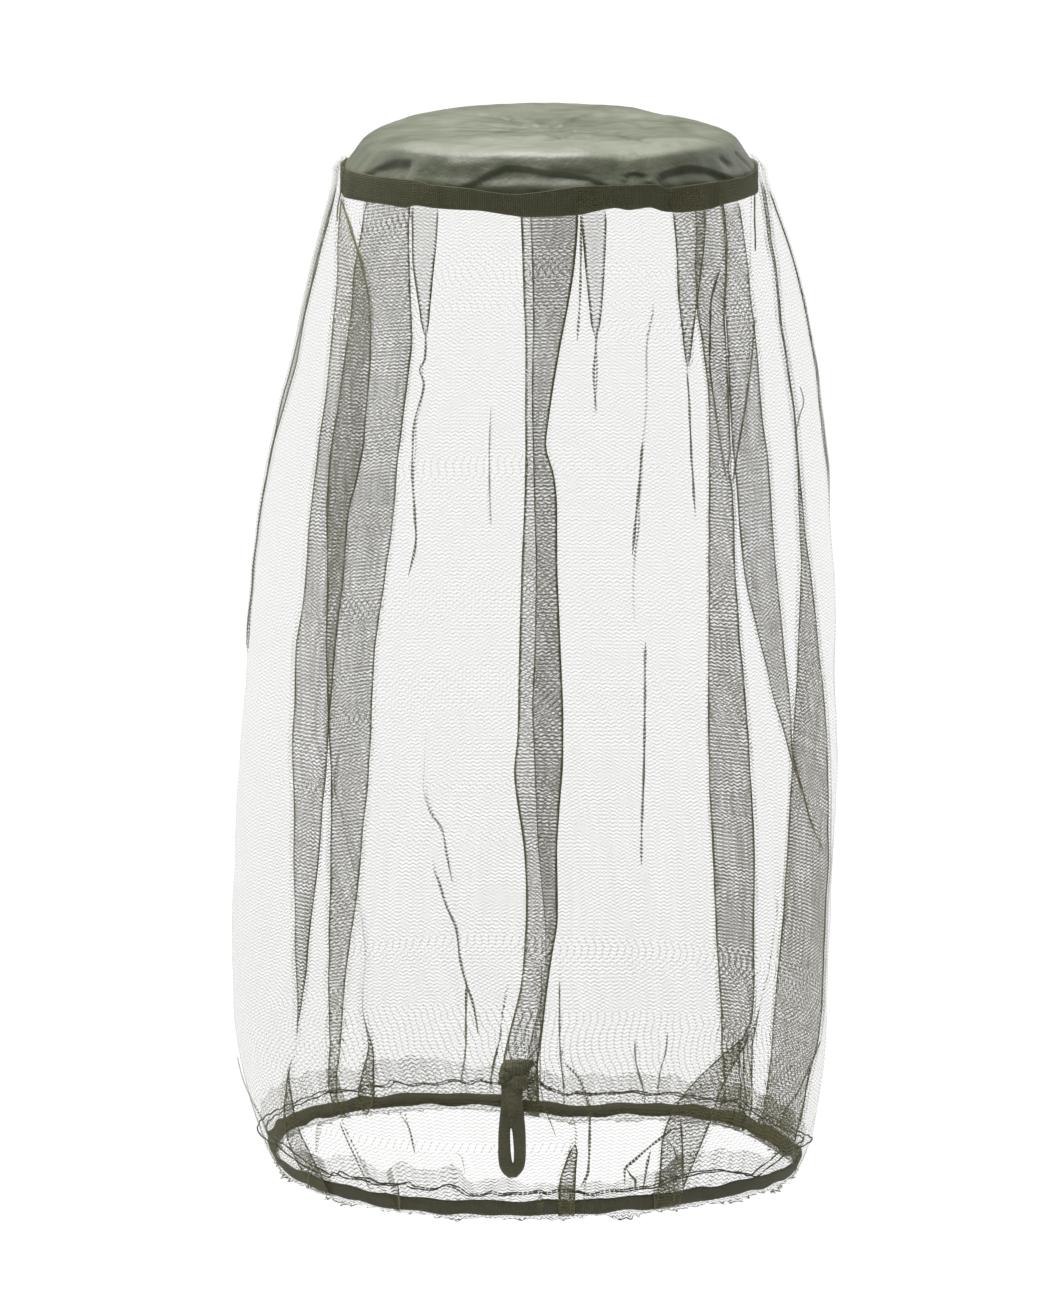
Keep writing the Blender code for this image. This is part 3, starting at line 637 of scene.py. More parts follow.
def laneEdges(lane):
    # start and end angle of a lane at every row; the angles only grow round the body
    if "angles" in lane:
        table = np.array(lane["angles"], float)
        return (softCurve(table[:, 0], table[:, 1], rows),
                softCurve(table[:, 0], table[:, 2], rows), None)
    back = lane.get("back", False)

    def follow(edge):
        seen = np.array([seenAt(down, across, back) for down, across in edge])
        order = np.argsort(seen[:, 0])
        heights = seen[order, 0] + np.arange(len(seen)) * 1e-4
        found = np.interp(rows, heights, seen[order, 1]) + lane.get("turn", 0)
        padded = np.pad(found, 1, mode="edge")
        return (padded[:-2] + 2 * padded[1:-1] + padded[2:]) / 4

    shared = lane.get("both", ())
    left = follow(lane.get("left", ()) + shared)
    right = follow(lane.get("right", ()) + shared)
    inner = follow(lane["inner"]) if "inner" in lane else None
    return (right, left, inner) if back else (left, right, inner)


def laneLine(lane):
    # strength of the dark line at every row, its places taken down the front
    if "line" not in lane:
        return np.zeros(len(rows))
    back = lane.get("back", False)
    table = [(seenAt(down, 0.0, back)[0], strength) for down, strength in lane["line"]]
    table.sort()
    return np.interp(rows, [t[0] for t in table], [t[1] for t in table])


def creaseDark(q):
    return sheet["crease"] * max(0.0, 1 - abs(q) / sheet["creaseHalf"])


def laneColumns(lane, start, end, inner):
    # a lane's columns, each with its angle, how far out it stands and its gather
    radius = wallRadius(rows)
    width = np.radians(end - start) * radius
    folded = smoothStep(0.25 * sheet["openBelow"], sheet["openBelow"], width)
    line = laneLine(lane)
    middle = (start + end) / 2
    half = np.degrees(sheet["openSpread"] / 2 / radius)
    step = sheet["layerStep"]
    if "facing" not in lane:
        return [(middle + half * q, 1.3 * line * (1 - abs(q)), 1 + line * creaseDark(q))
                for q in sheet["ridge"]]
    # turning points along the run: out to the far edge, back, and on
    turns = [start, end, start, end]
    if inner is not None:
        turns[2:3] = [start, inner, start]
    layers = len(turns) - 1
    slim = np.minimum(0.3, sheet["edge"] / np.maximum(width, 0.1))
    count = max(1, int(np.ceil(width.max() / sheet["foldStep"])))
    run = []
    for layer in range(layers):
        parts = [slim] + [slim + (1 - 2 * slim) * (k + 1) / (count + 1) for k in range(count)]
        parts += [1 - slim, 0 * slim + 1]
        if layer == 0:
            parts.insert(0, 0 * slim)
        for index, part in enumerate(parts):
            atTurn = index == len(parts) - 1 and layer < layers - 1
            angle = turns[layer] + (turns[layer + 1] - turns[layer]) * part
            level = step * (layers - 1 - layer) - (step / 2 if atTurn else 0)
            run.append((angle, level, sheet["rim"] if atTurn else lane["tone"]))
    columns = []
    for index, (angle, out, gather) in enumerate(run):
        # where it is narrow, the same columns lie side by side over an open crease
        q = 2 * index / (len(run) - 1) - 1
        openAngle, openOut = middle + half * q, 1.2 * line * (1 - abs(q))
        columns.append((openAngle + (angle - openAngle) * folded,
                        openOut + (out - openOut) * folded,
                        (1 + line * creaseDark(q)) * (1 - folded) + gather * folded))
    if lane["facing"] == -1:
        columns = [(start + end - angle, out, gather) for angle, out, gather in columns[::-1]]
    return columns


def orderLanes(edges):
    # lanes never cross their neighbours: each keeps a little behind the one before
    for (_, lastEnd, _), (start, end, _) in zip(edges, edges[1:]):
        start += np.maximum(0, lastEnd + sheet["laneGap"] - start)
        end[:] = np.maximum(end, start)
    return edges


def sheetColumns():
    # the back's left lane comes first, a whole turn down, so the angles only grow
    edges = orderLanes([laneEdges(lane) for lane in lanes])
    runs = [laneColumns(lane, *edge) for lane, edge in zip(lanes, edges)]
    columns = []
    for index, run in enumerate(runs):
        columns += run
        fromAngle, fromOut, _ = run[-1]
        toAngle, toOut, _ = runs[(index + 1) % len(runs)][0]
        if index == len(runs) - 1:
            toAngle = toAngle + 360
        gap = toAngle - fromAngle
        width = np.radians(gap) * wallRadius(rows)
        count = max(1, int(np.ceil(width.max() / sheet["wallStep"])) - 1)
        ramp = np.minimum(sheet["ramp"], 0.45 * width) + 1e-6
        for k in range(count):
            part = (k + 1) / (count + 1)
            out = (fromOut * (1 - smoothStep(0, 1, part * width / ramp))
                   + toOut * (1 - smoothStep(0, 1, (1 - part) * width / ramp)))
            columns.append((fromAngle + gap * part, out, 1 + 0 * width))
    return [np.stack([column[k] for column in columns], axis=1) for k in range(3)]


hem = {
    # the turned-up layer's raw edge and the row of stitches, as the camera sees
    # them: (down, across), first through the back, then along the front
    "rawBack": ((487, -120), (483.5, -107.5), (483, -89), (478, -72.5), (477.5, -47.5),
                (482, -33.5), (482, -17.5), (485, 7), (486.5, 22.5), (486, 52),
                (487.5, 73.5), (489.5, 82), (491.5, 105), (493, 111.5)),
    "rawFront": ((529.5, -103.5), (527, -96), (528, -87.5), (532, -82.5), (535.5, -76.5),
                 (532.5, -70), (531.5, -62.5), (534.5, -57.5), (534, -47.5), (533.5, -39),
                 (536, -34), (540.5, -31.5), (539.5, -18.5), (539.5, -9), (542.5, 5),
                 (541.5, 35), (537, 60), (526, 84.5), (525, 98.5), (525.5, 110.5),
                 (527.5, 120)),
    "sewnBack": ((506, -131.5), (503, -125), (498.5, -114), (495, -104), (494, -89),
                 (492, -81), (492, -72.5), (490, -70), (491.5, -60), (491, -47.5),
                 (489.5, -36), (491, -31), (489.5, -26), (490.7, -20), (489.5, -3),
                 (490.5, 5), (493, 7.5), (495.5, 15.5), (497.3, 17.5), (496, 24),
                 (496.5, 35), (495.5, 49), (496.5, 63), (496, 73.5), (497.5, 77),
                 (499.5, 95), (500, 104.3), (503, 109.3), (508.8, 120)),
    "sewnFront": ((523, -125), (528.5, -118.5), (538, -100), (536, -97.5), (538, -92.5),
                  (539, -87.5), (539.5, -81), (541.5, -76.5), (542, -69), (541, -61.5),
                  (543.5, -59), (544, -47.5), (542.5, -41.5), (543.5, -36.5), (547, -31),
                  (547.5, -24), (545.5, -20), (547, -14), (546, -1), (545.5, 6), (547, 8),
                  (544.5, 15), (545.8, 24), (547, 31), (545.8, 38), (545, 45.5),
                  (543.5, 60), (538, 77), (535.5, 90), (536, 105.5), (537.3, 113),
                  (534.5, 116.5), (524.5, 130)),
    "ruffle": 0.9,  # how deep the elastic gathers it
    "roll": ((0.8, -0.8), (0.6, -2.2)),  # its lower fold: how far below, how far in
    "inside": (0.1, 0.22, 0.36, 0.5, 0.66, 0.84, 1.0),  # rows of the turned-up layer
    "gather": 1.5,
}


def seenRing(backTable, frontTable):
    # a closed table of (angle, height) from what is seen through the back and front
    seen = [seenAt(down, across, True) for down, across in backTable]
    seen += [seenAt(down, across, False) for down, across in frontTable]
    return sorted((angle % 360, height) for height, angle in seen)


def unrest(points):
    # the sheet is never quite smooth: a slight low swell, stilled at band and hem
    depth, wide, narrow = sheet["swell"]
    shift = np.zeros((len(points), 3))
    for index, point in enumerate(points):
        wander = noise.noise(Vector(point) / wide) + 0.5 * noise.noise(Vector(point) / narrow)
        level = float(smoothStep(-40, -90, point[2]) * (1 - smoothStep(-500, -525, point[2])))
        turn = math.atan2(point[0], -point[1])
        push = depth * wander * level
        shift[index] = (push * math.sin(turn), -push * math.cos(turn), 0)
    return points + shift


# angle and height of the net's upper edge, sewn round the band
netTop = ((0, -27.0), (20, -25.0), (35, -28.0), (60, -26.5), (78, -24.5), (96, -23.5),
          (118, -24.0), (180, -24.0), (240, -23.8), (262, -23.5), (280, -23.5), (298, -24.8),
          (325, -25.0), (350, -28.5))


def flatSheet(angles, outs):
    # each point's place in the flat cloth: along its row from the front's middle,
    # and down from the top
    radius = wallRadius(rows)[:, None]
    closed = np.concatenate([angles, angles[:, :1] + 360], axis=1)
    steps = np.hypot(np.radians(np.diff(closed)) * radius, np.diff(closeRows(outs)))
    across = np.concatenate([0 * radius, np.cumsum(steps, axis=1)], axis=1)
    middle = np.argmin(np.abs(angles[0]))
    across -= across[:, middle:middle + 1]
    along = -runAlong(np.stack([rows, wallRadius(rows)], axis=1))[:, None] + 0 * angles
    return across, along


def turnedHem(angles, wave):
    # the hem turns up inside, to an uneven raw edge
    low = sheet["bottom"]
    raw = roundTable(seenRing(hem["rawBack"], hem["rawFront"]), angles)
    raw = raw + 0.8 * np.sin(np.radians(37 * angles)) + 0.6 * np.sin(
        np.radians(61 * angles + 40))
    rolled = [wallPoint(angles, out + wave * 0.8, low - below + 0 * angles)
              for below, out in hem["roll"]]
    return np.array(rolled + [
        wallPoint(angles, -sheet["turnUp"] + wave * (0.8 - 0.5 * part), low + (raw - low) * part)
        for part in hem["inside"]])


def makeTulle():
    angles, outs, gathers = sheetColumns()
    heights = rows[:, None] + 0 * angles
    gathers = gathers * (1 + 0.1 * smoothStep(-150, -480, heights))
    gathers = np.where(heights > -41, np.minimum(gathers, 1.0), gathers)
    across, along = flatSheet(angles, outs)
    girth = across[:, -1] - across[:, 0]
    print("tulle is", round(float(girth.min())), "to", round(float(girth.max())), "mm round")
    # the elastic draws the hem up into small uneven gathers
    swell = 0.6 + 0.4 * np.sin(across / 31 + 1) * np.sin(across / 13)
    ruffle = hem["ruffle"] * swell * (np.sin(across / 1.9 + 1.7 * np.sin(across / 23))
                                      + 0.5 * np.sin(across / 3.3 + 2.0))
    outs = outs + ruffle[:, :-1] * smoothStep(-488, -524, heights)
    # the upper edge follows the band and leans in over it
    heights = heights + (roundTable(netTop, angles) - rows[0]) * (
        1 - smoothStep(-24, -45, heights))
    outs = outs - 0.9 * np.maximum(0, heights + 26.5)
    points = unrest(wallPoint(angles, outs, heights).reshape(-1, 3)).reshape(*angles.shape, 3)
    inner = turnedHem(angles[-1], ruffle[-1, :-1])
    drop = np.linalg.norm(np.diff(np.concatenate([points[-1:], inner]), axis=0),
                          axis=2).mean(axis=1)
    along = np.concatenate([along, along[-1:] - np.cumsum(drop)[:, None]])
    across = np.concatenate([across, np.repeat(across[-1:], len(inner), axis=0)])
    gathers = np.concatenate([gathers, np.full(inner.shape[:2], hem["gather"])])
    return gridPiece("tulleBody", np.concatenate([points, inner]), tulle, across,
                     closeRows(along), gather=gathers)


tulleBody = makeTulle()
print("tulle hung:", len(tulleBody.data.polygons), "faces")


# tucks: small creases that cross the folds, mostly where the hem is drawn in
# path of (down, across) as seen, width, how far its threads draw together, and True
# for the back
tucks = (
    (((509.5, -105), (517, -105.5), (525.5, -106)), 3.0, 2.2),
    (((525.5, -36.5), (528, -33.5), (536, -32)), 0.8, 2.0),
    (((430, 6), (469.5, 5.3), (488, 5), (499.5, 6.3), (510, 10), (518, 13)), 1.0, 3.2),
    (((484.5, 7.5), (493, 7)), 1.2, 3.0, True),
    (((513.8, 75.5), (514, 71.5), (517.5, 66.5), (523, 59.3), (529.5, 52), (534.5, 47),
      (541.5, 47)), 2.2, 3.0),
    (((533, 47.5), (537, 50), (540, 52.5), (545, 52)), 1.6, 4.5),
    (((524.5, 60), (533, 58), (544.5, 56)), 2.0, 3.6),
    (((510, 75.5), (518, 76), (530, 76), (541.5, 76)), 1.7, 4.5),
    (((523, 71.5), (529, 73.5), (532.5, 75.5)), 1.6, 4.5),
    (((527, 75), (532, 72), (537, 69), (546, 64)), 9.0, 1.9),
    (((533, -110), (543.5, -110)), 1.5, 5.0),
    (((540, -65), (547, -64.5), (555, -64.5)), 1.5, 5.0),
    (((545, 5), (556, 5.5)), 3.0, 3.0),
    (((545, 20), (556, 20)), 2.2, 4.0),
    (((545, 62), (554, 62)), 1.4, 5.0),
    (((538, 71.5), (551, 71.5)), 1.6, 5.0),
    (((470, 143.5), (482, 138), (496, 131.5), (506, 125), (512, 123)), 2.4, 3.2),
    (((482, 138), (500, 135), (514, 131.5), (526, 129)), 2.0, 3.2),
    (((500, 127), (515, 127), (530, 129)), 9.0, 1.8),
    (((478, -145), (490, -142), (503, -136), (516, -129)), 3.0, 3.4),
    (((143, 134), (149, 135.5), (158, 133.5), (167, 131.5)), 1.2, 2.5, True),
    (((49, -93), (60, -89.5), (77, -84), (94, -79.5)), 2.4, 4.0),
    (((56, 25), (120, 23.5)), 1.6, 3.5),
    (((114.5, -52), (129, -52.5), (134, -55), (142, -53), (160, -57.5), (176, -58.5),
      (189.5, -58.6), (207.5, -57.3), (219, -56.5), (237, -60)), 1.7, 2.6),
    (((104, 61), (123, 57.7), (156, 56.7), (175, 54)), 1.2, 1.5),
    (((170, 55), (204, 52.5), (227, 50.4)), 1.8, 3.2),
    (((112, 33.5), (118.5, 33), (137, 31.7), (156, 33)), 1.5, 2.8),
    (((136, 77), (141.5, 77.5), (164.5, 78.5), (204, 80.6)), 1.9, 3.0),
    (((153, -19.3), (180, -20), (212, -19.3)), 1.1, 1.8),
    (((346, -51), (355, -48.5), (364, -42.5), (374, -41), (390, -38)), 1.3, 2.0),
    (((384, -47), (390, -44.5), (402, -41), (414, -36), (428, -34.5), (440, -32), (450, -28.5),
      (466, -25.5)), 1.7, 2.8),
    (((270, 56.5), (305, 56.5), (332, 56), (356, 55.5), (382, 55)), 1.6, 2.8),
    (((481, 17.5), (491, 25.8), (508, 30), (534.5, 29), (543, 25)), 1.8, 3.0),
    (((511, -94), (531, -85), (543.5, -79)), 1.8, 3.0),
    (((506, -63.5), (514.5, -59), (526, -56.7)), 1.4, 2.4),
    (((470, -15), (482, -18), (494, -20)), 2.2, 3.5, True),
    (((440, -31), (470, -31.5), (480, -32.5), (493, -35)), 1.9, 3.2, True),
    (((466, 68), (474, 67.5), (488, 64), (499, 62.5)), 1.5, 2.6, True),
    (((470, 52), (480, 52.5), (487, 54), (500, 57)), 1.8, 3.2, True),
    (((440, 15), (470, 15), (498, 17)), 1.5, 3.0, True),
    (((108, 112), (144, 109), (175, 102.5), (190, 99.5)), 1.8, 3.0),
    (((84, 95), (92, 92.5), (102, 90.5), (133, 90.5), (164, 95), (190, 99.5)), 2.2, 3.5, True),
    (((28, -90.5), (40, -92.5), (52, -94.5), (60, -95)), 1.6, 4.5),
    (((46, 111), (60, 111), (75, 111.5)), 1.4, 4.5, True),
)


tuckShape = {
    "step": 1.6,
    "taper": 6.0,  # over which each end narrows
    "strips": (-1, -0.4, 0.4, 1),  # its columns, as shares of half its width
    "stand": (1.2, 0.9),  # how far it stands off the wall, and how much more midway
    "narrow": 2.5,  # below this width it is a crease, and finer and darker
}


def makeTucks():
    points, faces, flat, gathers = [], [], [], []
    strips = np.array(tuckShape["strips"])
    off, more = tuckShape["stand"]
    for number, (path, width, gather, *back) in enumerate(tucks):
        seen = np.array([seenAt(down, across, bool(back)) for down, across in path])
        place = np.stack([np.radians(seen[:, 1]) * wallRadius(seen[:, 0]), seen[:, 0]], axis=1)
        run = runAlong(place)
        count = max(4, int(run[-1] / tuckShape["step"]))
        at = np.linspace(0, run[-1], count + 1)
        angle, height = softCurve(run, seen[:, 1], at), softCurve(run, seen[:, 0], at)
        lead = np.stack([np.gradient(np.radians(angle) * wallRadius(height), at),
                         np.gradient(height, at)], axis=1)
        lead /= np.linalg.norm(lead, axis=1)[:, None]
        taper = np.minimum(1, (np.minimum(at, run[-1] - at) + 0.6) / tuckShape["taper"]) ** 0.7
        wobble = 1 + 0.25 * np.sin(at / 3.1 + number)
        share, dark = (0.35, 1.8) if width < tuckShape["narrow"] else (0.5, 1.0)
        shift = strips * (width * share * taper * wobble)[:, None]
        turned = np.degrees(-shift * lead[:, 1:] / wallRadius(height)[:, None])
        spots = wallPoint(angle[:, None] + turned, off + more * (1 - np.abs(strips)),
                          height[:, None] + shift * lead[:, :1])
        some, places = gridFaces(*shift.shape, shift + 40 * number,
                                 at[:, None] + 0 * shift, len(points))
        faces += some
        flat += places
        points += spots.reshape(-1, 3).tolist()
        gathers += (gather * dark * np.where(np.abs(strips) == 1, 0.75, 1.0)
                    + 0 * shift).ravel().tolist()
    return newPiece("netTucks", unrest(np.array(points)), faces, tulle, flat, gather=gathers)


netTucks = makeTucks()
print("tucks pressed in")


# frill: the hem's curled edge below the tape
frill = {
    "columns": 1500,
    "radius": 134,
    # angle, how far it hangs below the hem
    "hang": ((0, 0.8), (7, 2.0), (14, 0.7), (20, 2.4), (32, 2.2), (40, 0.8), (52, 2.6),
             (64, 2.4), (76, 1.0), (95, 1.4), (120, 0.8), (160, 1.0), (200, 0.8),
             (240, 1.0), (268, 1.6), (286, 1.8), (300, 0.7), (312, 1.9), (324, 0.7),
             (336, 0.6), (345, 2.0), (352, 0.8)),
    # how far its threads draw together from its top down: the rolled edge is darkest
    "gathers": (3.0, 2.4, 2.4, 3.4, 7.0),
    "fullness": 1.6,  # of flat cloth to hem
}


def makeFrill():
    angles = np.arange(frill["columns"]) * 360 / frill["columns"]
    run = np.radians(angles) * frill["radius"]
    hang = roundTable(frill["hang"], angles) * (1 + 0.5 * np.sin(run / 7 + 2 * np.sin(run / 31)))
    curl = np.sin(run / 1.15 + 1.6 * np.sin(run / 9) + 0.9 * np.sin(run / 4.1))
    lower = np.sin(run / 1.9 + 1.2 * np.sin(run / 13) + 1.0)
    points, along = [], []
    for part in np.linspace(0, 1, len(frill["gathers"])):
        out = -0.9 + (1.7 * curl + 0.7 * lower) * part
        swing = 0.8 * lower * part * hang / 3
        height = sheet["bottom"] - 0.7 - hang * part * (1 + 0.35 * curl * lower)
        points.append(wallPoint(angles + np.degrees(swing / 132), out, height))
        along.append(-hang * part * 1.3)
    points = np.array(points)
    wide = np.append(run, math.tau * frill["radius"]) * frill["fullness"]
    across = np.repeat(wide[None, :], len(points), axis=0)
    gathers = np.array(frill["gathers"])[:, None] + 0 * points[..., 0]
    return gridPiece("hemFrill", points, tulle, across, closeRows(np.array(along)),
                     gather=gathers)


hemFrill = makeFrill()
print("frill curled")


# crown
crown = {
    "segments": 288,
    "rows": ((1.5, 84, 42), (85, None, 42)),  # from, to and how many, out from the middle
    "sideRadius": 98,
    # radius and height of the cloth from the middle to behind the band
    "profile": ((0, -8.0), (24, -8.0), (50, -8.0), (72, -8.3), (84, -9.3), (90, -10.7),
                (93.2, -12.4), (95.2, -15.0), (97.2, -18.6), (99.4, -22.6), (102.0, -27.2),
                (102.6, -31.0)),
    # how the shoulder rises and falls round it
    "shoulder": ((0, 0.2), (9, 0.6), (16, -0.8), (22, -2.4), (28, -2.2), (35, -1.6),
                 (42, -0.6), (50, -0.3), (58, -0.1), (66, -0.8), (76, -1.6), (90, -1.4),
                 (112, 0.2), (139, 2.2), (155, 5.2), (180, 6.4), (204, 5.6), (230, 2.8),
                 (255, -1.2), (272, -2.8), (290, -4.0), (299, -2.4), (309, 0.0), (317, -0.6),
                 (330, -0.8), (345, 0.4)),
    # folds of the side that hang over: line of (angle, height), how far the cloth
    # below it lies back, over what drop
    "overhangs": (
        (((-66, -28), (-60, -20.5), (-54, -17), (-48, -15.8), (-44.6, -15.2), (-43.6, -28)),
         2.8, 6.0),
        (((-25.5, -28), (-21.7, -24.6), (-17.2, -20.4), (-12.2, -17.0), (-7.0, -17.6),
          (-2.7, -18.8), (4.4, -20.2), (11.6, -22.3), (14.5, -24.5), (18, -28)), 1.7, 2.0),
        (((20.6, -28), (21.2, -23.4), (22.0, -20.6), (24.2, -18.9), (27.1, -19.8),
          (28.4, -22.5), (29.2, -28)), 1.3, 1.7),
        (((31.9, -28), (32.5, -23.0), (34.1, -20.7), (37.6, -19.6), (44.6, -19.0),
          (50.7, -21.0), (58, -25.0), (62, -28)), 2.6, 2.6),
        (((110, -28), (114, -22), (120, -20), (127, -23), (130, -28)), 1.8, 3.0),
        (((160, -28), (167, -20), (176, -18.5), (186, -21), (192, -28)), 2.0, 3.0),
        (((224, -28), (228, -23), (236, -21), (243, -22.5), (248, -28)), 1.6, 2.0),
    ),
    # and its softer folds: path of (angle, height), width, how far they push in
    "sideFolds": (
        (((-41.0, -14.5), (-40.6, -26.5)), 1.8, -1.0),
        (((-30, -17), (-22, -16)), 4.0, -0.8),
        (((-11.3, -18.5), (-11.3, -25.0)), 0.7, 0.5),
        (((2.0, -20.8), (11.0, -21.6)), 2.4, 1.0),
        (((61.0, -19.5), (63.5, -22.0)), 2.2, 1.6),
        (((74.0, -17.0), (79.0, -25.0)), 1.6, 1.4),
        (((150, -18), (149, -26)), 1.6, 1.0),
        (((205, -17), (204, -26)), 1.4, 1.1),
        (((264, -18), (262, -26)), 1.8, 1.2),
    ),
    # creases of the top: path of (x, y), width, how far they push in; the same strokes paint
    # shade into the top's colour
    "topFolds": (
        (((-23, 48), (-4, 28), (4, 1)), 2.2, 0.9),
        (((-11, 15), (4, 1), (13, 41), (22, 53)), 2.0, -0.6),
        (((-22, -16), (1, -6)), 2.2, 0.9),
        (((1, -30), (11, -52), (19, -45)), 2.6, 0.8),
        (((7, -14), (32, -16), (51, -67)), 2.4, 0.8),
        (((-36, -52), (-2, -45)), 3.2, -0.9),
        (((-27, -68), (0, -60), (9, -34)), 2.8, 0.8),
        (((-21, -1), (-12, 4), (-4, 8)), 1.8, 0.9),
        (((-5, -14), (4, -18), (13, -20)), 2.0, 0.8),
        (((-60, 0), (-46, -1), (-21, -8)), 2.2, 0.8),
        (((-35, 53), (-20, 44), (-7, 33)), 3.0, 0.8),
        (((3, -8), (24, -6), (43, -8), (58, -33)), 2.2, 0.7),
        (((43, 24), (50, 4)), 2.4, 0.7),
        (((2, 2), (26, 20), (52, 44)), 2.6, 0.6),
        (((-14, -12), (-34, -28), (-58, -40)), 2.8, 0.6),
        (((10, -14), (34, -34), (50, -58)), 2.8, 0.5),
        (((-16, 6), (-44, 22), (-72, 26)), 2.8, 0.7),
        (((-12, 14), (-20, 40), (-22, 66)), 2.6, 0.5),
        (((30, 62), (64, 30), (70, -10)), 4.0, 0.7),
        (((-74, -20), (-60, -48), (-30, -74)), 4.0, 0.7),
    ),
}


def strokes(first, second, folds):
    # how far a set of folds pushes in each point of the plane they are drawn in
    total = np.zeros(np.broadcast(first, second).shape)
    for path, width, depth in folds:
        near = np.full(total.shape, 1e9)
        for (ax, ay), (bx, by) in zip(path, path[1:]):
            run = np.array((bx - ax, by - ay), float)
            part = np.clip(((first - ax) * run[0] + (second - ay) * run[1]) / (run @ run), 0, 1)
            near = np.minimum(near, np.hypot(first - ax - run[0] * part,
                                             second - ay - run[1] * part))
        total += depth * np.exp(-(near / width) ** 2)
    return total


def roughness(place, sizes, level):
    # noise over a plane, its size in mm along each axis
    return noise.noise(Vector((place[0] / sizes[0], place[1] / sizes[1], level)))


def sidePush(angle, height):
    # how far the crown's side is pushed in by its folds
    perDegree = math.radians(1) * crown["sideRadius"]
    signed = np.mod(angle + 90, 360) - 90  # the folds' own angles run from -90 to 270
    wide = [(tuple((a * perDegree, h) for a, h in path), width, depth)
            for path, width, depth in crown["sideFolds"]]
    aboveBand = 1 - smoothStep(-27.0, -29.5, height)
    push = 0.8 * strokes(signed * perDegree, height, wide) * (
        smoothStep(-11.5, -15.5, height) * aboveBand)
    for line, depth, drop in crown["overhangs"]:
        places, heights = np.array(line).T
        spot = np.mod(angle - places[0], 360) + places[0]
        below = height - np.interp(spot, places, heights)
        under = smoothStep(0.3, -drop, below) * (spot < places[-1])
        rise = 0.5 if drop < 5 else 0.0
        push = push + 0.8 * depth * under * (1 - rise * smoothStep(-2, -9, below))
    pucker = np.sin(np.radians(29 * angle + 30)) + 0.7 * np.sin(np.radians(47 * angle + 75))
    return push + 0.14 * pucker * smoothStep(-14, -22, height) * aboveBand


def crownPaintedLight(points):
    # painted light and shade for the crown's colour: the top painted paler, most towards the
    # front's shoulder, darker behind it and in its creases, with random mottle
    creased = np.clip(np.abs(strokes(points[:, 0], points[:, 1], crown["topFolds"])), 0, 1.2)
    tight = []
    for place, crease in zip(points, creased):
        onTop = float(smoothStep(-14.5, -11.5, place[2]))
        wander = 22 * roughness(place, (45, 45), 5.0) + 9 * roughness(place, (16, 9), 2.0)
        front = float(smoothStep(-36, -58, place[1] + wander)) * onTop
        mottle = 0.5 * roughness(place, (30, 22), 7.0) + 0.35 * roughness(place, (9, 7), 4.0)
        # painted highlight on the top and more towards the front, painted shade in the top's
        # creases; the mottle is random tone
        tight.append(0.22 + 0.17 * onTop + 0.58 * front + 0.8 * mottle - 0.26 * crease * onTop)
    return np.array(tight)


def makeCrown():
    profile = np.array(crown["profile"], float)
    runs = runAlong(profile)
    distance = np.concatenate([np.linspace(start, end or runs[-1], count)
                               for start, end, count in crown["rows"]])
    radius = softCurve(runs, profile[:, 0], distance)[:, None]
    height = softCurve(runs, profile[:, 1], distance)[:, None]
    count = crown["segments"]
    angle = (np.arange(count) * 360 / count)[None, :]
    turn = np.radians(angle)
    lift = (roundTable(crown["shoulder"], angle) * np.minimum(radius / 90, 1) ** 3
            * smoothStep(-27.2, -12.6, height))
    reach = radius - sidePush(angle, height) * smoothStep(86, 95, radius)
    x, y = reach * np.sin(turn), -reach * np.cos(turn)
    dip = 1.25 * strokes(x, y, crown["topFolds"]) * (1 - smoothStep(70, 88, radius))
    points = np.stack([x, y, height + lift - dip + 0 * angle], axis=-1)
    for row, still in zip(points, smoothStep(84, 94, radius[:, 0])):
        for point in row:
            point[2] += (1 - 0.7 * still) * (0.9 * roughness(point, (24, 24), 3.0)
                                             + 0.4 * roughness(point, (7, 7), 9.0))
    # the grid's faces, then a fan over the small hole at the middle
    closedTurn = np.concatenate([turn, turn[:, :1] + math.tau], axis=1)
    across = distance[:, None] * np.sin(closedTurn)
    along = -distance[:, None] * np.cos(closedTurn)
    faces, flat = gridFaces(len(distance), count, across, along)
    for column in range(count):
        faces.append((points[..., 0].size, column, (column + 1) % count))
        flat += [(0.0, 0.0), (across[0, column], along[0, column]),
                 (across[0, column + 1], along[0, column + 1])]
    points = np.concatenate([points.reshape(-1, 3), points[0].mean(axis=0)[None, :]])
    return newPiece("crownCloth", points, faces, taffeta, flat, tight=crownPaintedLight(points))


crownCloth = makeCrown()
print("crown made")


# band
band = {
    "segments": 480,
    "outer": 104.1,
    "thick": 1.1,
    # rows round its section: how far off its face (None is its inner face), and how
    # far down as a share of its height
    "rows": ((None, 0.1), (-0.05, 0.0), (0.1, 0.02), (0, 0.2), (0.15, 0.4), (0, 0.6),
             (0.15, 0.8), (0.1, 0.97), (-0.3, 1.02), (None, 1.0)),
    # angle and height of its upper and lower edges
    "upper": ((2, -27.3), (9, -25.8), (22, -25.9), (30, -26.4), (34, -28.6), (42, -28.0),
              (52, -27.8), (66, -28.0), (74, -27.6), (88, -25.5), (180, -25.5), (270, -25.5),
              (296, -25.5), (320, -25.2), (326, -26.8), (337, -27.5), (344, -29.0),
              (350, -29.8), (358, -28.4)),
    "lower": ((1, -40.4), (8, -39.6), (15, -37.3), (18, -36.8), (22, -38.1), (28, -37.4),
              (33, -39.8), (40, -41.0), (47, -40.8), (58, -39.4), (72, -38.9), (90, -39.0),
              (180, -39.0), (270, -39.2), (281, -39.8), (293, -39.2), (309, -38.8),
              (317, -39.2), (321, -37.5), (328, -38.2), (339, -38.2), (349, -40.0),
              (353, -40.8)),
}


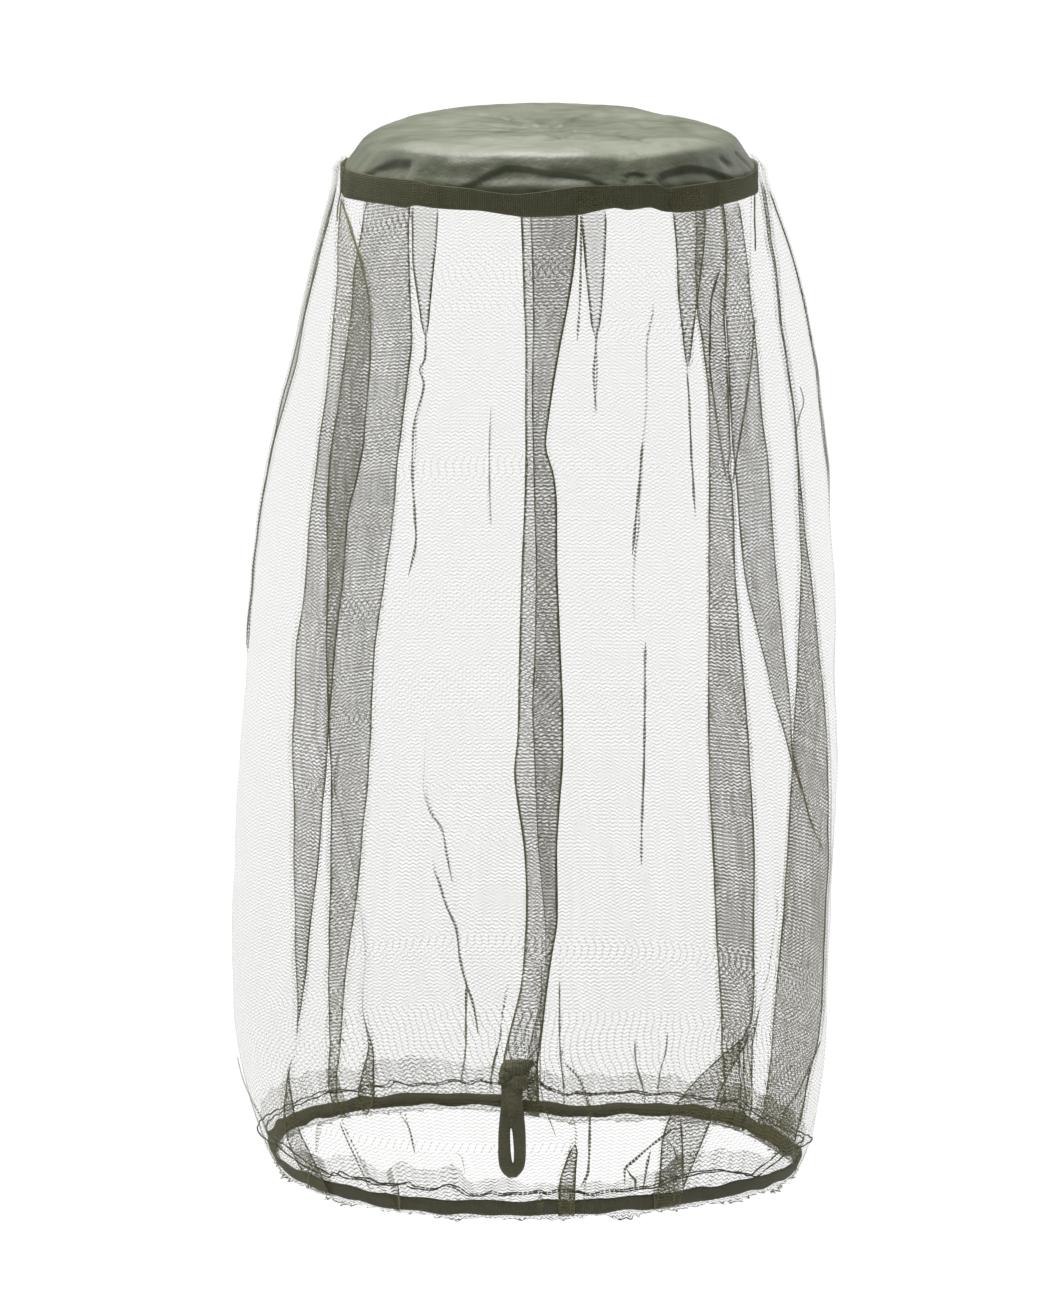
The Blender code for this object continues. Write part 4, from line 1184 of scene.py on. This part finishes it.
def closedRing(name, section, count, material):
    # a closed ring: section(places) gives the rows of points round its girth, for
    # count places in degrees
    points = np.array(section(np.arange(count) * 360 / count))
    across, along = np.meshgrid(runAlong(np.append(points[0], points[0, :1], axis=0)),
                                runAlong(np.append(points[:, 0], points[:1, 0], axis=0)))
    return gridPiece(name, points, material, across, along)


def bandSection(angles):
    top, low = roundTable(band["upper"], angles), roundTable(band["lower"], angles)
    turn = np.radians(angles)
    # it creases and stands in and out a little as it goes round
    stand = 0.35 * np.sin(np.radians(9 * angles + 20)) + 0.25 * np.sin(np.radians(23 * angles))
    inner = band["outer"] - band["thick"]
    points = []
    for off, part in band["rows"]:
        radius = inner if off is None else band["outer"] - 0.5 + off
        reach = radius + stand * 0.6 * part * (radius > inner)
        height = top + (low - top) * part
        points.append(np.stack([reach * np.sin(turn), -reach * np.cos(turn), height], axis=-1))
    return points


crownBinding = closedRing("crownBinding", bandSection, band["segments"], bandWebbing)
print("band made")


# elastic in the hem
elastic = {
    "segments": 720,
    "inset": 0.95,
    "middle": -526.0,
    # its section, from the inner top edge round: how far out of its face, and height
    "rows": ((-1.0, -523.6), (0, -523.6), (0.2, -524.9), (0.1, -526.2), (0.2, -527.9),
             (0, -529.2), (-1.0, -529.2)),
}


def elasticSection(angles):
    wobble = 0.35 * np.sin(np.radians(23 * angles)) + 0.2 * np.sin(np.radians(41 * angles))
    width = 0.3 * np.sin(np.radians(31 * angles + 50)) + 0.6 + 0.6 * np.cos(np.radians(angles))
    points = []
    for out, height in elastic["rows"]:
        spread = width if height > elastic["middle"] else -width
        points.append(wallPoint(angles, out - elastic["inset"], height + wobble + spread))
    return points


hemTape = closedRing("hemTape", elasticSection, elastic["segments"], elasticTape)
print("elastic made")


# loop
loop = {
    "middle": -18.8,
    "top": -505.4,
    "bottom": -565.6,
    "hangsBelow": -532.5,
    "thick": 1.6,
    "inside": 5.0,  # from the wall in to its middle
    # height, half width of its outline
    "outline": ((-505, 2.6), (-508.5, 5.8), (-513, 6.6), (-517, 5.8), (-524, 5.5),
                (-533, 6.3), (-544, 7.1), (-553, 7.2), (-559, 6.6), (-563, 4.8), (-565.2, 2.4)),
    "slitTop": -539.5,
    "slitLow": -558.0,
    "slitHalf": 0.8,
    "strips": 6,
}


def loopDepth(across, height):
    # it lies on the inside of the hem, then hangs upright
    seat = np.maximum(height, loop["hangsBelow"])
    aside = (loop["middle"] + across - wallMiddle(seat)) / wallRadius(seat)
    angle = 180 - np.degrees(np.arcsin(aside))
    return wallPoint(angle, -loop["inside"],
                     np.minimum(seat, -507.0) - riseAt(angle, seat))[..., 1]


def loopSection(places):
    turn = np.radians(places)
    lean = -np.cos(turn)
    middle = (loop["slitTop"] + loop["slitLow"]) / 2
    reach = np.where(lean < 0, middle - loop["bottom"], loop["top"] - middle)
    height = middle + reach * lean
    outline = np.array(loop["outline"], float)
    half = softCurve(*outline.T, height) * np.sign(np.sin(turn))
    half = np.where(np.abs(lean) > 0.9995, 0, half)
    slitX = loop["slitHalf"] * np.sin(turn) + 0.5 * np.cos(turn)
    slitZ = middle + (loop["slitTop"] - loop["slitLow"]) / 2 * lean
    front, behind = [], []
    for k in range(loop["strips"] + 1):
        part = k / loop["strips"]
        across, level = half + (slitX - half) * part, height + (slitZ - height) * part
        depth = loopDepth(across, level) - loop["thick"] / 2
        swell = loop["thick"] / 2 * (0.45 + 0.55 * (1 - abs(2 * part - 1) ** 3))
        for side, sign in ((behind, 1), (front, -1)):
            side.append(np.stack([loop["middle"] + across, depth + sign * swell, level],
                                 axis=-1))
    return behind + front[::-1]


tapeLoop = closedRing("tapeLoop", loopSection, 120, loopRibbon)


# the loop's bunched upper end, sewn into the hem: lumps of (down, across), half
# width, half height, half depth
lumps = (
    ((484, -7.5), 7.2, 4.8, 2.6), ((481, -3.5), 4.8, 3.2, 2.4), ((479.4, -0.6), 2.6, 1.4, 1.6),
    ((487, -12.5), 3.8, 3.2, 2.0), ((490, -6.5), 6.2, 4.6, 2.4), ((489.5, -14.5), 2.4, 1.8, 1.6),
)
lumpShape = {"around": 28, "levels": 16, "weave": 0.8, "inside": 6.0}


def makeKnot():
    points, faces, flat = [], [], []
    around, levels = lumpShape["around"], lumpShape["levels"]
    across, along = np.meshgrid(np.arange(around + 1.0), np.arange(levels - 1.0))
    for number, ((down, aside), wide, tall, deep) in enumerate(lumps):
        height, angle = seenAt(down, aside, True)
        middle = wallPoint(np.array(angle), -lumpShape["inside"], np.array(height))
        first = len(points)
        for level in range(1, levels):
            tilt = math.pi * level / levels
            for step in range(around):
                turn = math.tau * step / around
                side = Vector((math.sin(tilt) * math.cos(turn), math.sin(tilt) * math.sin(turn),
                               math.cos(tilt)))
                crumple = 1 + 0.3 * noise.noise(side * 2.3 + Vector((number * 7, 0, 0))) + (
                    0.1 * noise.noise(side * 6 + Vector((0, number * 5, 0))))
                points.append([centre + away * size * crumple for centre, away, size
                               in zip(middle, side, (wide, deep, tall))])
        some, places = gridFaces(levels - 1, around, lumpShape["weave"] * across,
                                 lumpShape["weave"] * along, first)
        ends = [[first + row * around + step for step in range(around)]
                for row in (0, levels - 2)]
        faces += some + [ends[0], ends[1][::-1]]
        flat += places + [(0.0, 0.0)] * around * 2
    return newPiece("loopKnot", points, faces, loopRibbon, flat)


loopKnot = makeKnot()
print("loop made")


# stitches
# faces: how far out of the wall the row shows on each side of the hem
stitches = {"every": 2.5, "length": 2.1, "thick": 0.75, "faces": (0.9, -3.4)}


def stitchTree():
    # follows a curve and lays a stitch at even steps along it
    tree = bpy.data.node_groups.new("runningStitch", "GeometryNodeTree")
    tree.interface.new_socket("Path", in_out="INPUT", socket_type="NodeSocketGeometry")
    for label, value in (("Every", stitches["every"] * mm), ("Length", stitches["length"] * mm),
                         ("Thick", stitches["thick"] * mm)):
        socket = tree.interface.new_socket(label, in_out="INPUT", socket_type="NodeSocketFloat")
        socket.default_value = value
    tree.interface.new_socket("Stitches", in_out="OUTPUT", socket_type="NodeSocketGeometry")
    given = addNode(tree, "NodeGroupInput")
    spaced = addNode(tree, "GeometryNodeResampleCurve", {"mode": "LENGTH"},
                     {"Curve": given.outputs["Path"], "Length": given.outputs["Every"]})
    radius = addNode(tree, "ShaderNodeMath", {"operation": "MULTIPLY"},
                     {0: given.outputs["Thick"], 1: 0.5})
    bar = addNode(tree, "GeometryNodeMeshCylinder", None,
                  {"Vertices": 6, "Radius": radius.outputs[0], "Depth": given.outputs["Length"]})
    tangent = addNode(tree, "GeometryNodeInputTangent")
    turned = addNode(tree, "FunctionNodeAlignEulerToVector", {"axis": "Z"},
                     {"Vector": tangent.outputs[0]})
    unevenness = addNode(tree, "FunctionNodeRandomValue", {"data_type": "FLOAT"},
                         {2: 0.75, 3: 1.25, "Seed": 4})
    laid = addNode(tree, "GeometryNodeInstanceOnPoints", None,
                   {"Points": spaced.outputs[0], "Instance": bar.outputs["Mesh"],
                    "Rotation": turned.outputs[0], "Scale": unevenness.outputs[1]})
    real = addNode(tree, "GeometryNodeRealizeInstances", None, {"Geometry": laid.outputs[0]})
    dressed = addNode(tree, "GeometryNodeSetMaterial", None,
                      {"Geometry": real.outputs[0], "Material": thread})
    addNode(tree, "NodeGroupOutput", None, {"Stitches": dressed.outputs[0]})
    return tree


def makeStitches():
    table = seenRing(hem["sewnBack"], hem["sewnFront"])
    angles = np.arange(0, 360, 0.6)
    heights = roundTable(table, angles) + 0.3 * np.sin(np.radians(53 * angles))
    curve = bpy.data.curves.new("hemSeam", "CURVE")
    curve.dimensions = "3D"
    for out in stitches["faces"]:
        line = wallPoint(angles, out, heights) + (0, 0, seatDrop)
        spline = curve.splines.new("POLY")
        spline.points.add(len(line) - 1)
        spline.use_cyclic_u = True
        for point, place in zip(spline.points, line):
            point.co = (*(place * mm), 1)
    path = bpy.data.objects.new("hemSeam", curve)
    scene.collection.objects.link(path)
    modifier = path.modifiers.new("stitching", "NODES")
    modifier.node_group = stitchTree()
    bpy.context.view_layer.update()
    ready = path.evaluated_get(bpy.context.evaluated_depsgraph_get())
    mesh = bpy.data.meshes.new_from_object(ready)
    made = bpy.data.objects.new("hemStitches", mesh)
    scene.collection.objects.link(made)
    if not mesh.materials:
        mesh.materials.append(thread)
    bpy.data.objects.remove(path)
    bpy.data.curves.remove(curve)
    return made


hemStitches = makeStitches()
print("stitches laid:", len(hemStitches.data.polygons), "faces")


# studio
studio = {
    "floor": -1160.0,
    "reach": 9000.0,
    # floor and cove: how far behind, and how high; low, so that the net is also seen
    # from the back
    "cove": ((-9000, 0), (1500, 0), (2400, 150), (3000, 600), (3210, 1020)),
    "room": 0.2,  # the light that comes from all round
    # name, place in m, aims at, size in m, power in W
    "lamps": (("keySoftbox", (-0.32, 0.4, 1.95), (0, 0, 0), 1.1, 66),
              ("backdropLeft", (-1.7, 1.3, 0.9), (-0.4, 3.3, -0.6), 1.2, 31.2),
              ("backdropRight", (1.7, 1.3, 0.9), (0.4, 3.3, -0.6), 1.2, 31.2)),
}


def makeStudio():
    reach = studio["reach"]
    points = [(x, y, studio["floor"] + z) for y, z in studio["cove"] for x in (-reach, reach)]
    faces = [(2 * k, 2 * k + 1, 2 * k + 3, 2 * k + 2) for k in range(len(studio["cove"]) - 1)]
    newPiece("studioCove", points, faces, mattWhitePaint())
    world = bpy.data.worlds.new("softRoom")
    scene.world = world
    world.use_nodes = True
    tree = world.node_tree
    tree.nodes.clear()
    room = addNode(tree, "ShaderNodeBackground", None,
                   {"Color": (1, 1, 1, 1), "Strength": studio["room"]})
    addNode(tree, "ShaderNodeOutputWorld", inputs={"Surface": room.outputs[0]})
    for name, place, aim, size, power in studio["lamps"]:
        data = bpy.data.lights.new(name, "AREA")
        data.size = size
        data.energy = power
        lamp = bpy.data.objects.new(name, data)
        lamp.location = place
        lamp.rotation_euler = (Vector(aim) - Vector(place)).to_track_quat("-Z", "Y").to_euler()
        scene.collection.objects.link(lamp)


makeStudio()
print("studio lit")

dressed = ((tulleBody, "net_body", "net"), (netTucks, None, "net"), (hemFrill, None, "net"),
           (hemStitches, None, "net"), (crownCloth, "crown_panel", "crown_cloth"),
           (crownBinding, "crown_band", "band_webbing"), (hemTape, "hem_elastic", "elastic_tape"),
           (tapeLoop, "tape_loop", "loop_tape"), (loopKnot, None, "loop_tape"))
for piece, node, slot in dressed:
    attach(piece, "root")
    if node:
        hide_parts(node)
